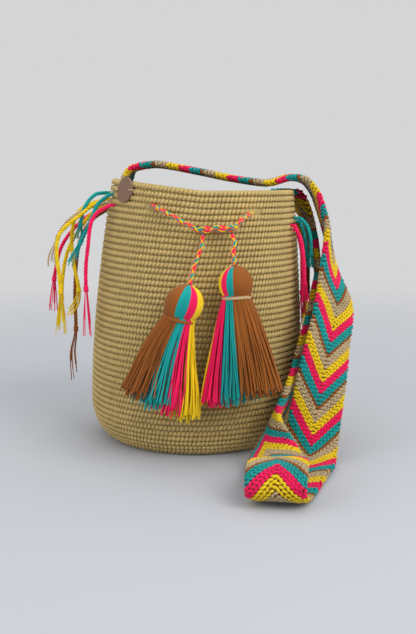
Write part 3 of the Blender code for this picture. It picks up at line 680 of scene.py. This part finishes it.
def braid(path):
    """Eight strands, four each way; each rises over one and dives under the next."""
    lines = []
    frames = list(zip(carried_frames(path), distances(path)))
    for strand in range(8):
        hand = 1 if strand % 2 else -1
        dye = DYES[BRAID_DYES[(strand // 2 + (1 if hand > 0 else 0)) % 4]]
        line = []
        for frame, travelled in frames:
            phase = 2 * math.pi * BRAID_TURNS * travelled
            turn = hand * phase + math.pi / 2 * (strand // 2)
            reach = CORD_DIAMETER * (0.315 + 0.05 * hand * math.cos(4 * phase))
            line.append(beside(*frame, reach, turn))
        lines.append((line, {"dye": (*dye, 1.0)}, False))
    return lines


def string_level(angle):
    if 90.0 < angle < 270.0:
        start, end, front = 120.0, 240.0, 0.251
    else:
        angle = (angle + 180.0) % 360.0 - 180.0
        start, end, front = 60.0, -59.0, 0.246
    part = min(1.0, max(0.0, (angle - start) / (end - start)))
    level = BACK_STRING + (front - BACK_STRING) * part
    return level + (STRING_LOW - (BACK_STRING + front) / 2) * math.sin(math.pi * part) ** 2


def string_point(angle):
    """The drawstring runs outside in front and at the back, and inside at the two sides."""
    outside = ROW_DEPTH / 2 + CORD_DIAMETER / 2 + 0.0006
    inside = -WALL - CORD_DIAMETER / 2 - FACET_DEPTH - 0.0006
    half = math.degrees(THREADING_ARC / 2 / RIM_RADIUS)
    turn = angle % 360.0
    out = 0.0
    for first, last in ((240.0, 301.0), (60.0, 120.0)):
        into = min(1.0, max(0.0, (turn - first + half) / (2 * half)))
        away = min(1.0, max(0.0, (last + half - turn) / (2 * half)))
        share = min(into, away)
        out = max(out, share * share * (3 - 2 * share))
    return around(turn, string_level(turn), inside + (outside - inside) * out)


loop_points = [string_point(241.5 - 2.5 * step) for step in range(120)]
string_path = sampled([KNOT_LEFT, *LEFT_FRONT_ROUTE, *loop_points, *RIGHT_FRONT_ROUTE, KNOT_RIGHT],
                      CORD_STEP)
drawstring = yarn("drawstring_braid", braid(string_path), STRAND_RADIUS, MIXED_YARN)
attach(drawstring, "bag")
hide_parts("drawstring")
print("drawstring length:", round(distances(string_path)[-1], 3))

# %% Tie the half knot
KNOT_REACH = 0.0018
KNOT_TURNS = 1.25
KNOT_STEPS = 36


def knot_path(start_turn):
    """One of the two ends, wound round the other between the knot's two sides."""
    run = KNOT_RIGHT - KNOT_LEFT
    forward = run.normalized()
    side = forward.cross(Vector((0.0, 0.0, 1.0))).normalized()
    up = side.cross(forward)
    path = []
    for step in range(KNOT_STEPS + 1):
        part = step / KNOT_STEPS
        turn = start_turn + 2 * math.pi * KNOT_TURNS * part
        end = min(part, 1 - part)
        reach = KNOT_REACH if end > 0.1 else KNOT_REACH * math.sin(math.pi * (0.12 + end))
        path.append(beside(KNOT_LEFT + run * part, side, up, reach, turn))
    return path


knot_lines = braid(knot_path(0.3)) + braid(knot_path(0.3 + math.pi))
knot_piece = yarn("drawstring_half_knot", knot_lines, 0.0007, MIXED_YARN)
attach(knot_piece, "bag")
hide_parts("drawstring_knot")

# %% [markdown]
# ## Tassels
#
# A tassel is a hank of yarn folded over its cord and bound at the waist. The strands are laid
# round an oval that follows the solid's own rule, so the head bulges and the skirt spreads. Each
# strand keeps its place in the colour order, and neighbours cling together in clumps.

# %% Rules of a tassel
TASSEL_CLEARANCE = 0.0008
HEM_DEPTH = 0.0195
SKIRT_TOP = 0.0035
STACK = math.radians(35.0)
BUNCHES = (("brown", 0.0), ("teal", 0.005), ("pink", 0.008), ("yellow", 0.011))
COLOUR_ENDS = {
    "left": {"head": (36.0, 70.0, 96.0, 180.0), "skirt": (55.0, 82.0, 108.0, 180.0)},
    "right": {"head": (65.0, 90.0, 115.0, 180.0), "skirt": (76.0, 106.0, 150.0, 180.0)},
}
TASSELS = {
    "left": {"side": -1, "hem": (-0.0345, -0.1345, 0.064), "head": 0.0183, "head_height": 0.033,
             "waist": 0.0134, "hem_width": 0.04, "bow": 0.003, "binding": "brown"},
    "right": {"side": 1, "hem": (0.0462, -0.1345, 0.069), "head": 0.0163, "head_height": 0.0295,
              "waist": 0.0122, "hem_width": 0.04, "bow": 0.0, "binding": "sand"},
}


def tassel_frame(side):
    """Top, length and the three directions of a tassel."""
    shape = TASSELS[side]
    top = Vector(HANGING[side][-1])
    run = Vector(shape["hem"]) - top
    down = run.normalized()
    out = Vector((0.0, -1.0, 0.0))
    out = (out - down * out.dot(down)).normalized()
    return top, run.length, down, out.cross(down).normalized(), out


def tassel_width(shape, length, at):
    """Half width and half depth of the yarn at a distance down."""
    waist_angle = math.pi - math.asin(shape["waist"] / shape["head"])
    half_height = (shape["head_height"] - TASSEL_CLEARANCE) / (1 - math.cos(waist_angle))
    skirt = shape["head_height"] + SKIRT_TOP
    if at < shape["head_height"]:
        cosine = 1 - (at - TASSEL_CLEARANCE) / half_height
        radius = shape["head"] * math.sqrt(max(0.0, 1 - cosine * cosine))
        return radius, radius
    if at < skirt:
        return shape["waist"], shape["waist"]
    part = min(1.0, (at - skirt) / (length - skirt))
    wide = shape["waist"] * 1.08
    return (wide + (shape["hem_width"] - wide) * part ** 0.85,
            shape["waist"] + (HEM_DEPTH - shape["waist"]) * part)


def tassel_point(side, at, angle, share, lift=0.0):
    """A point in the tassel: how far down, at which angle from the colour order, how far out."""
    shape = TASSELS[side]
    top, length, down, across, out = tassel_frame(side)
    half_width, half_depth = tassel_width(shape, length, at)
    towards = (shape["side"] * math.cos(STACK), math.sin(STACK))
    base = math.atan2(half_depth * towards[1], half_width * towards[0])
    bow = shape["bow"] * shape["side"] * math.sin(math.pi * min(1.0, at / length)) ** 2
    turn = base + angle
    return (top + down * at + across * (bow + (half_width * share + lift) * math.cos(turn))
            + out * ((half_depth * share + lift) * math.sin(turn)))


def colour_at(side, part, angle, share):
    """Which bunch a place in the section belongs to: cuts are straight across the order."""
    order = math.degrees(math.acos(max(-1.0, min(1.0, share * math.cos(angle)))))
    for (dye, extra), last in zip(BUNCHES, COLOUR_ENDS[side][part]):
        if order <= last + 0.001:
            return dye, extra
    return BUNCHES[-1]


# %% Grow the tassel strands
HEAD_STRANDS = 104
SKIRT_LAYERS = ((1.0, 96), (0.93, 80), (0.82, 64), (0.64, 44), (0.42, 26))
SKIRT_GIRTH = 0.92
STRAND_STEPS = 13
HEAD_STEPS = 15
STRAY_SHARE = 0.05
STRAND_SINK = 0.0006


def head_strands(side, chance):
    """Smooth, tight yarn over the head, from the cord to the waist."""
    shape = TASSELS[side]
    strands = {dye: [] for dye, _ in BUNCHES}
    for index in range(HEAD_STRANDS):
        angle = 2 * math.pi * (index + 0.5) / HEAD_STRANDS
        dye, _ = colour_at(side, "head", angle, 1.0)
        line = []
        for step in range(HEAD_STEPS):
            part = step / (HEAD_STEPS - 1)
            at = TASSEL_CLEARANCE + 0.0004 + (shape["head_height"] + 0.002 - TASSEL_CLEARANCE) * part
            line.append(tassel_point(side, at, angle, 1.0, -STRAND_SINK))
        strands[dye].append((line, {"shade": chance.uniform(0.93, 1.07)}, False))
    return strands


def skirt_strands(side, chance):
    """Layers of strands from the waist to the hem; each colour hangs a little lower."""
    shape = TASSELS[side]
    _, length, _, _, _ = tassel_frame(side)
    strands = {dye: [] for dye, _ in BUNCHES}
    for share, count in SKIRT_LAYERS:
        clump = 2 * math.pi / (count / 4)
        for index in range(count):
            angle = 2 * math.pi * (index + chance.uniform(0.2, 0.8)) / count
            centre = (math.floor(angle / clump) + 0.5) * clump
            dye, extra = colour_at(side, "skirt", angle, share)
            stray = chance.random() < STRAY_SHARE and share > 0.9
            drift = chance.uniform(-0.5, 0.5) if stray else chance.uniform(-0.05, 0.05)
            end = length + extra + chance.uniform(-0.004, 0.002) - (0.006 if share > 0.9 else 0.0)
            pull = chance.uniform(0.15, 0.55)
            wave = chance.uniform(0.0, 2 * math.pi)
            line = []
            for step in range(STRAND_STEPS):
                part = step / (STRAND_STEPS - 1)
                at = shape["head_height"] - 0.001 + (end - shape["head_height"]) * part
                near = angle + (centre - angle) * pull * math.sin(math.pi * min(1.0, part * 1.1)) ** 0.7
                near += drift * part ** 2 + 0.012 * math.sin(wave + 7 * part)
                rise = 0.0009 * math.sin(wave * 2 + 5 * part) * part
                line.append(tassel_point(side, at, near, share, rise + (STRAND_SINK if stray else 0.0)))
            # Inner layers are darker by their share: painted shade inside the skirt, on top of a random
            # tone.
            shade = chance.uniform(0.8, 1.12) * (0.75 + 0.25 * share)
            strands[dye].append((line, {"shade": shade, "girth": SKIRT_GIRTH}, False))
    return strands


for side in ("left", "right"):
    chance = random.Random(7 if side == "left" else 8)
    heads = head_strands(side, chance)
    skirts = skirt_strands(side, chance)
    for dye, _ in BUNCHES:
        piece = yarn(f"{side}_tassel_{dye}_strands", heads[dye] + skirts[dye], STRAND_RADIUS, YARN[dye])
        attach(piece, f"{side}_tassel")
        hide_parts(f"{side}_tassel_{dye}_yarn")


# %% Bind the waists and hang the tassels
THREAD_TURNS = 3
TURN_STEPS = 28
THREAD_SPREAD = 0.0022


def binding_thread(side):
    """Three turns of thread round the waist."""
    middle = TASSELS[side]["head_height"] + SKIRT_TOP / 2
    steps = THREAD_TURNS * TURN_STEPS
    line = [tassel_point(side, middle + THREAD_SPREAD * (step / steps - 0.5),
                         2 * math.pi * step / TURN_STEPS, 1.0, 0.0015) for step in range(steps + 1)]
    return [(line, {}, False)]


for side in ("left", "right"):
    thread = yarn(f"{side}_tassel_waist_thread", binding_thread(side), 0.00065,
                  YARN[TASSELS[side]["binding"]], 6)
    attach(thread, f"{side}_tassel")
    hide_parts(f"{side}_tassel_binding")
    path = sampled(HANGING[side], CORD_STEP)[1:]
    hanging = yarn(f"{side}_hanging_braid", braid(path), STRAND_RADIUS, MIXED_YARN)
    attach(hanging, f"{side}_cord")
    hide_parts(f"{side}_tassel_cord")
    distances(path)[-1]

# %% [markdown]
# ## Crocheted body
#
# Single crochet worked in the round gives rounded rows with a narrow dark groove between them,
# and each stitch shows as a short leaning link. The wall underneath is a ribbed shell, darker than
# the links as painted shade where it shows in the grooves, between the stitches and inside; the
# links are set along each row by the second tree.

# %% Make the ribbed shell
SHELL_SIDES = 144
RIB_PROFILE = ((0.0, -0.0021), (0.18, -0.0012), (0.5, -0.0005), (0.82, -0.0012))


def shell_ring(row, offset):
    return [on_row(360.0 * side / SHELL_SIDES, row, offset) for side in range(SHELL_SIDES)]


def skinned(rings):
    """Quads between neighbouring rings of points; also gives back the rings' vertices."""
    bm = bmesh.new()
    loops = [[bm.verts.new(point) for point in ring] for ring in rings]
    for lower, upper in zip(loops, loops[1:]):
        for i in range(len(lower)):
            j = (i + 1) % len(lower)
            bm.faces.new((lower[i], lower[j], upper[j], upper[i]))
    return bm, loops


def plain_piece(name, bm, shade, finish):
    """The finished object, with one painted shade all over."""
    bmesh.ops.recalc_face_normals(bm, faces=bm.faces)
    mesh = bpy.data.meshes.new(name)
    bm.to_mesh(mesh)
    bm.free()
    layer = mesh.attributes.new("shade", "FLOAT", "POINT")
    layer.data.foreach_set("value", [shade] * len(mesh.vertices))
    mesh.materials.append(finish)
    return stand(name, mesh)


def make_shell():
    """Ribbed outside and inside, plain round floor, and a rounded rim."""
    rings = [shell_ring(HEIGHTS[0], -0.0006)]
    rows = list(zip(HEIGHTS[0::2], HEIGHTS[2::2]))
    for low, high in rows:
        for part, offset in RIB_PROFILE:
            if low > 0 or part > 0:
                rings.append(shell_ring(low + (high - low) * part, offset))
    rings.append(shell_ring(RIM_HEIGHT, -0.0016))
    for low, high in reversed(rows):
        if low < FLOOR_THICKNESS:
            continue
        for part, offset in reversed(RIB_PROFILE):
            inner = -WALL + 0.0002 - (0.0021 + offset) * 0.5
            rings.append(shell_ring(low + (high - low) * part, inner))
    rings.append(shell_ring(FLOOR_THICKNESS, -WALL - 0.001))
    bm, loops = skinned(rings)
    for loop in (loops[0], loops[-1]):
        centre = bm.verts.new((0.0, 0.0, sum(v.co.z for v in loop) / SHELL_SIDES))
        for i in range(SHELL_SIDES):
            bm.faces.new((loop[i], loop[(i + 1) % SHELL_SIDES], centre))
    for face in bm.faces:
        face.smooth = True
    # The shade of 0.8 is painted shade on the wall, where it shows between the stitches and inside.
    return plain_piece("crocheted_wall", bm, 0.8, YARN["beige"])


wall_piece = make_shell()
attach(wall_piece, "bag")
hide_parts("bag_body")
print("wall faces:", len(wall_piece.data.polygons))

# %% Set the stitches
STITCH_SPACING = 0.0043
STITCH_SIZE = (0.0029, 0.0024, 0.0016)
STITCH_LEAN = math.radians(58.0)
ROW_SIDES = 160
SLOT_REACH = (0.0085, 0.003)
LOWER_ROWS = 23
STITCH_SINK = 0.0002


def slot_distance(angle, z):
    """How far a place on the wall is from the nearest cord slot, as a share of the slot."""
    nearest = 9.0
    for slot_angle, slot_height in EYELETS:
        along = math.radians((angle - slot_angle + 180) % 360 - 180) * RIM_RADIUS
        nearest = min(nearest, math.hypot(along / SLOT_REACH[0], (z - slot_height) / SLOT_REACH[1]))
    return nearest


def row_line(row, offset, half_turn):
    """One row as a closed guide line, with the outward direction at each point."""
    points, outwards, keep = [], [], []
    slope = (body_radius(row + 0.001) - body_radius(max(0.0, row - 0.001))) / 0.002
    for side in range(ROW_SIDES):
        angle = 360.0 * (side + half_turn) / ROW_SIDES
        turn = math.radians(angle)
        point = on_row(angle, row, offset)
        points.append(point)
        outwards.append(Vector((math.cos(turn), math.sin(turn), -slope)).normalized())
        keep.append(1.0 if slot_distance(angle, point.z) > 1.0 else 0.0)
    return points, {"outwards": outwards, "keep": keep, "lean": STITCH_LEAN}, True


ridge_rows = HEIGHTS[1::2]
for label, rows, seed in (("lower", ridge_rows[:LOWER_ROWS], 3), ("upper", ridge_rows[LOWER_ROWS:], 4)):
    lines = [row_line(row, -STITCH_SINK, 0.5 * (number % 2)) for number, row in enumerate(rows)]
    stitches = links(f"crochet_stitches_{label}", lines, STITCH_SPACING, STITCH_SIZE,
                     YARN["beige"], seed)
    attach(stitches, "bag")

# %% [markdown]
# ## Woven strap
#
# The strap is one flat band, plaited from many yarns that run down from both edges and meet in
# the middle, which makes the V-shaped colour rows. A thin band carries the shape as one sheet,
# dark brown at half shade as painted shade in the gaps between the links, and links follow each V
# round both faces, with the row's own dye darkened as painted shade of the weave.

# %% Route of the strap
STRAP_WIDTH = 0.052
STRAP_THICKNESS = 0.0074
STRAP_EDGE = 0.004
CHEVRON_DROP = 0.034
ROLL_CENTRE = (70, -248, 20)
ROLL_REACH = 0.075
ROLL_FLATTENING = 0.3
STRAP_SAMPLES = 700
LEFT_SEAT = 176.0
SEAT_CLEARANCE = 0.0018
RIM_CLEARANCE = 0.0084
STRIPES = (("yellow", 0.013), ("pink", 0.0115), ("teal", 0.012), ("brown and beige", 0.0165))
DRIFTS = (((115.5, -1, 276.5), (135, -86, 117), 0.022), ((113, -125, 9.6), (77, -227, 5.2), 0.012))
ACROSS = (0, 1, 0)
STRAP_ROUTE = (
    ((-68, 5, 288.5), ACROSS),
    ((-50, 5, 292.5), ACROSS),
    ((-33, 5, 292), ACROSS),
    ((4.5, 5, 285), ACROSS),
    ((36.5, 4, 278.5), ACROSS),
    ((70, 3, 273.5), ACROSS),
    ((84, 2, 274.5), ACROSS),
    ((100, 1, 279), ACROSS),
    ((115.5, -1, 276.5), ACROSS),
    ((125.5, -4, 266), ACROSS),
    ((132.5, -9, 250), ACROSS),
    ((140, -20, 220), (0.08, 1, 0)),
    ((142, -42, 183), (0.4, 0.92, 0)),
    ((144, -60, 156), (0.7, 0.71, 0)),
    ((140, -75, 136), (0.79, 0.61, 0)),
    ((135, -86, 117), (0.85, 0.53, 0)),
    ((130.5, -95, 98), (0.91, 0.41, 0)),
    ((126.5, -102, 80), (0.96, 0.28, 0)),
    ((123, -107, 60), (0.98, 0.17, 0)),
    ((119, -111, 40), (1, 0.08, 0)),
    ((116, -116, 22), (1, 0, 0)),
    ((113, -125, 9.6), (1, -0.05, 0)),
    ((108.5, -142, 4.6), (0.99, -0.1, 0.02)),
    ((98.5, -168, 4.6), (0.99, -0.12, 0.02)),
    ((87, -200, 4.6), (0.99, -0.14, 0)),
    ((77, -227, 5.2), (0.99, -0.15, 0)),
    ((71.5, -244, 11), (0.99, -0.15, 0)),
    (ROLL_CENTRE, (0.99, -0.15, 0)),
    ((71.2, -241, 29), (0.99, -0.15, 0)),
    ((73.8, -226, 32.5), (0.99, -0.15, 0)),
    ((75.5, -206, 30), (0.99, -0.12, 0.04)),
    ((75, -184, 22.5), (0.98, -0.08, 0.16)),
    ((72.5, -164, 19.5), (0.9, -0.08, 0.42)),
    ((70.5, -146, 23), (0.7, -0.2, 0.66)),
    ((72, -129, 31), (0.38, -0.52, 0.7)),
    ((79, -112, 42), (0.02, -0.82, 0.52)),
    ((90.5, -96, 56), (-0.22, -0.9, 0.32)),
    ((102, -79, 74), (-0.32, -0.93, 0.14)),
    ((110.5, -64, 94), (-0.33, -0.94, 0)),
    ((118, -49, 116), (-0.3, -0.95, 0)),
    ((124, -36, 136), (-0.26, -0.96, 0)),
    ((129, -20, 156), (-0.2, -0.98, 0)),
    ((132.5, -6, 176), (-0.12, -0.99, 0)),
    ((132, 6, 192), (-0.05, -1, 0)),
    ((129.5, 20, 213), (0, -1, 0)),
    ((124.5, 28, 233), (0.1, -0.99, 0)),
    ((116.5, 34.5, 250), (0.25, -0.96, 0)),
)


def seat_point(angle, z):
    """Centre of the strap where it is sewn flat against the inside of the wall."""
    sagitta = RIM_RADIUS - math.sqrt(RIM_RADIUS ** 2 - (STRAP_WIDTH / 2) ** 2)
    return around(angle, z, -WALL - sagitta - FACET_DEPTH - STRAP_THICKNESS / 2 - SEAT_CLEARANCE)


def tangent(angle):
    turn = math.radians(angle)
    return Vector((-math.sin(turn), math.cos(turn), 0.0))


def strap_stations():
    """Centre line of the strap, with the direction of its width at each place."""
    left = tangent(LEFT_SEAT) * -1
    right = tangent(SEAT_ANGLE) * -1
    left_rim = rim_height(LEFT_SEAT)
    right_rim = rim_height(SEAT_ANGLE)
    top_right = seat_point(SEAT_ANGLE, right_rim)
    on_rim = around(SEAT_ANGLE, right_rim, -WALL / 2)
    turn = math.radians(SEAT_ANGLE)
    outwards = Vector((math.cos(turn), math.sin(turn), 0.0))
    return [
        (seat_point(LEFT_SEAT, left_rim - 0.022), left),
        (seat_point(LEFT_SEAT, left_rim - 0.006), left),
        (seat_point(LEFT_SEAT, left_rim) + Vector((0.001, 0.0, 0.002)), left),
        *((metres(point), width) for point, width in STRAP_ROUTE),
        ((0.108, 0.038, 0.2585), right),
        ((on_rim.x, on_rim.y, right_rim + STRAP_THICKNESS / 2 + RIM_CLEARANCE), right),
        (top_right + outwards * 0.0016 + Vector((0.0, 0.0, 0.0052)), right),
        (top_right, right),
        (seat_point(SEAT_ANGLE, right_rim - 0.012), right),
    ]


def strap_frames():
    """Evenly spaced places along the strap, each with its width and face directions."""
    spaced, length = smooth_curve([(*point, *width) for point, width in strap_stations()], STRAP_SAMPLES)
    frames = []
    for index, row in enumerate(spaced):
        before = Vector(spaced[max(index - 1, 0)][:3])
        after = Vector(spaced[min(index + 1, STRAP_SAMPLES - 1)][:3])
        forward = (after - before).normalized()
        width = Vector(row[3:])
        width = (width - forward * width.dot(forward)).normalized()
        frames.append((Vector(row[:3]), width, forward.cross(width)))
    return frames, length


STRAP, STRAP_LENGTH = strap_frames()


def place_near(point):
    """How far along the strap the nearest sample to a point lies."""
    nearest = min(range(STRAP_SAMPLES), key=lambda k: (STRAP[k][0] - Vector(metres(point))).length)
    return STRAP_LENGTH * nearest / (STRAP_SAMPLES - 1)


ROLL_AT = place_near(ROLL_CENTRE)
print("strap length:", round(STRAP_LENGTH, 3))


def half_thickness(u):
    """The band is flat across most of its width and thins to rounded edges."""
    face, edge = STRAP_THICKNESS / 2, STRAP_EDGE / 2
    return face if abs(u) < 0.72 else face + (edge - face) * (abs(u) - 0.72) / 0.28


def strap_at(place):
    """The strap's centre, width direction and face direction at a distance along it."""
    exact = place / STRAP_LENGTH * (STRAP_SAMPLES - 1)
    low = min(int(exact), STRAP_SAMPLES - 2)
    return (a.lerp(b, exact - low) for a, b in zip(STRAP[low], STRAP[low + 1]))


def strap_place(place, u, rise):
    """A point on the V that starts at a place along the strap, and its outward direction."""
    ramp = min(1.0, place / (2 * CHEVRON_DROP), (STRAP_LENGTH - place) / (2 * CHEVRON_DROP))
    ramp *= 1 - ROLL_FLATTENING * math.exp(-((place - CHEVRON_DROP / 2 - ROLL_AT) / ROLL_REACH) ** 2)
    centre, width, out = strap_at(min(max(place - CHEVRON_DROP * abs(u) * ramp, 0.0), STRAP_LENGTH))
    return centre + width * (u * STRAP_WIDTH / 2) + out * rise, width, out


# %% Make the band
BAND_RINGS = 360
BAND_INSET = 0.0014


def make_band():
    """A thin closed band through the middle of the strap."""
    rings = []
    for index in range(BAND_RINGS):
        centre, width, out = strap_at(STRAP_LENGTH * index / (BAND_RINGS - 1))
        ring = []
        for sign, order in ((1, range(-4, 5)), (-1, range(4, -5, -1))):
            for u in (k / 4 for k in order):
                rise = sign * (half_thickness(u) - BAND_INSET)
                ring.append(centre + width * (u * (STRAP_WIDTH / 2 - 0.0015)) + out * rise)
        rings.append(ring)
    bm, loops = skinned(rings)
    bm.faces.new(list(reversed(loops[0])))
    bm.faces.new(loops[-1])
    # Brown at half shade: painted shade, seen only in the gaps between the plaited links.
    return plain_piece("strap_band", bm, 0.5, YARN["brown"])


band = make_band()

# %% Plait the links
COLUMNS = {"yellow": ("yellow",) * 3, "pink": ("pink",) * 3, "teal": ("teal",) * 3,
           "brown and beige": ("brown", "sand", "sand", "sand")}
LINK_SPACING = 0.0046
LINK_SIZE = (0.003, 0.0017, 0.0014)
LINK_LEAN = math.radians(24.0)
# Share of its dye that each strap link keeps: painted shade for the dark gaps of the weave.
STRAP_PAINTED_SHADE = 0.84
COLUMN_STEPS = 15


def chevron_columns():
    """Each column of links: its place along the strap and its dye."""
    columns = []
    at = 0.0
    index = 0
    while at < STRAP_LENGTH - STRIPES[0][1] / 2:
        name, height = STRIPES[index % len(STRIPES)]
        dyes = COLUMNS[name]
        columns += [(at + height * (k + 0.5) / len(dyes), dye) for k, dye in enumerate(dyes)]
        at += height
        index += 1
    drifts = [(place_near(first), place_near(last), amount) for first, last, amount in DRIFTS]
    placed = []
    for place, dye in columns:
        place *= STRAP_LENGTH / at
        shift = 0.0
        for start, end, amount in drifts:
            part = min(1.0, max(0.0, (place - start) / (end - start)))
            shift += amount * part * part * (3 - 2 * part)
        place += shift
        if place < STRAP_LENGTH - 0.002:
            placed.append((place, dye))
    return placed


def column_loop(place, dye, lean):
    """A closed guide line: down one face as a V, round the edge and back over the other face."""
    points, outwards = [], []
    for sign in (1, -1):
        for k in range(COLUMN_STEPS):
            u = sign * (2 * k / (COLUMN_STEPS - 1) - 1)
            point, width, out = strap_place(place, u * 0.985, sign * (half_thickness(u) - 0.0009))
            edge = max(0.0, (abs(u) - 0.85) / 0.15)
            facing = out * sign * (1 - edge * 0.6) + width * (math.copysign(1.0, u) * edge)
            points.append(point)
            outwards.append(facing.normalized())
    # Each link's dye is darkened by this painted shade.
    colour = (*(STRAP_PAINTED_SHADE * part for part in DYES[dye]), 1.0)
    return points, {"outwards": outwards, "lean": lean, "dye": colour}, True


columns = [(place, dye, LINK_LEAN if number % 2 else -LINK_LEAN)
           for number, (place, dye) in enumerate(chevron_columns())]
middle = len(columns) // 2
for label, chosen in (("first_half", columns[:middle]), ("second_half", columns[middle:])):
    lines = [column_loop(*column) for column in chosen]
    plait = links(f"strap_plait_{label}", lines, LINK_SPACING, LINK_SIZE, MIXED_YARN, 6)
    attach(plait, "bag")
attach(band, "bag")
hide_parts("shoulder_strap")

# %% [markdown]
# ## Round tag
#
# A bare disc of brown leather is sewn to the rim through two holes. Its shape is right as it is,
# so it only gets a finish: leather grain from two noises.


# %% Finish the tag
def leather_finish():
    material, graph, shader = new_finish("tag_leather_finish")
    place = graph.node("ShaderNodeTexCoord").outputs["Object"]
    pores = graph.value("ShaderNodeTexVoronoi", inputs={"Vector": place, "Scale": 1500.0})
    stretched = graph.node("ShaderNodeMapping", inputs={"Vector": place, "Scale": (1.0, 1.0, 0.08)})
    streaks = graph.value("ShaderNodeTexNoise", inputs={
        "Vector": stretched, "Scale": 700.0, "Detail": 3.0})
    colour = mix(graph, "MIX", streaks, (0.105, 0.052, 0.03, 1.0), (0.3, 0.17, 0.11, 1.0))
    graph.feed(shader.inputs["Base Color"], colour)
    graph.feed(shader.inputs["Roughness"], 0.5 + 0.25 * streaks)
    relief = graph.node("ShaderNodeBump", inputs={
        "Strength": 0.5, "Distance": 0.0002, "Height": pores + streaks})
    graph.feed(shader.inputs["Normal"], relief)
    return material


TAG_FINISH = leather_finish()
THREAD_FINISH = yarn_material("tag_thread_finish", DYES["sand"], shaded=False)
for node_name, finish in (("round_tag", TAG_FINISH), ("left_tag_stitch", THREAD_FINISH),
                          ("right_tag_stitch", THREAD_FINISH)):
    mesh = bpy.data.objects[node_name].data
    mesh.materials.clear()
    mesh.materials.append(finish)

# %% [markdown]
# ## Room and light
#
# The photograph is a studio shot on a pale sweep: broad soft light from above and the left, and
# a faint shadow under the bag.

# %% Floor and lights
FLOOR_CORNERS = ((-6, -4), (6, -4), (6, 8), (-6, 8))
FLOOR_DROP = 0.0005

floor_mesh = bpy.data.meshes.new("floor")
floor_mesh.from_pydata([(x, y, -FLOOR_DROP) for x, y in FLOOR_CORNERS], [], [(0, 1, 2, 3)])
floor = stand("floor", floor_mesh)
floor_finish, floor_graph, floor_shader = new_finish("pale_floor")
floor_shader.inputs["Base Color"].default_value = (0.47, 0.49, 0.53, 1.0)
floor_shader.inputs["Roughness"].default_value = 0.9
distance = floor_graph.node("ShaderNodeVectorMath", {"operation": "LENGTH"}, {
    "Vector": floor_graph.node("ShaderNodeTexCoord").outputs["Object"]})
fade = floor_graph.node("ShaderNodeMapRange", {"interpolation_type": "SMOOTHSTEP"}, {
    "Value": distance.outputs["Value"], "From Min": 0.3, "From Max": 1.5, "To Min": 0.0, "To Max": 1.0})
clear = floor_graph.node("ShaderNodeBsdfTransparent")
blend = floor_graph.node("ShaderNodeMixShader", inputs={
    0: fade, 1: floor_shader, 2: clear})
surface = floor_finish.node_tree.nodes["Material Output"].inputs["Surface"]
floor_graph.feed(surface, blend)
floor_mesh.materials.append(floor_finish)


def soft_light(name, place, target, size, power, colour=(1.0, 1.0, 1.0)):
    lamp = bpy.data.lights.new(name, "AREA")
    lamp.shape = "RECTANGLE"
    lamp.size, lamp.size_y = size
    lamp.energy = power
    lamp.color = colour
    holder = stand(name, lamp)
    holder.location = place
    holder.rotation_euler = (Vector(target) - Vector(place)).to_track_quat("-Z", "Y").to_euler()


soft_light("key_light", (1.15, -1.15, 1.4), (0.0, 0.0, 0.12), (1.3, 1.3), 24.0, (1.0, 0.98, 0.96))
soft_light("fill_light", (-1.4, -1.0, 0.9), (0.0, 0.0, 0.12), (1.2, 1.2), 8.0)
soft_light("top_light", (0.0, 0.3, 1.8), (0.0, 0.0, 0.1), (1.8, 1.8), 8.0)

world = bpy.data.worlds.new("studio")
world.use_nodes = True
backdrop = world.node_tree.nodes["Background"].inputs
backdrop["Color"].default_value = (0.665, 0.668, 0.675, 1.0)
backdrop["Strength"].default_value = 1.0
bpy.context.scene.world = world
bpy.context.scene.view_settings.view_transform = "Standard"
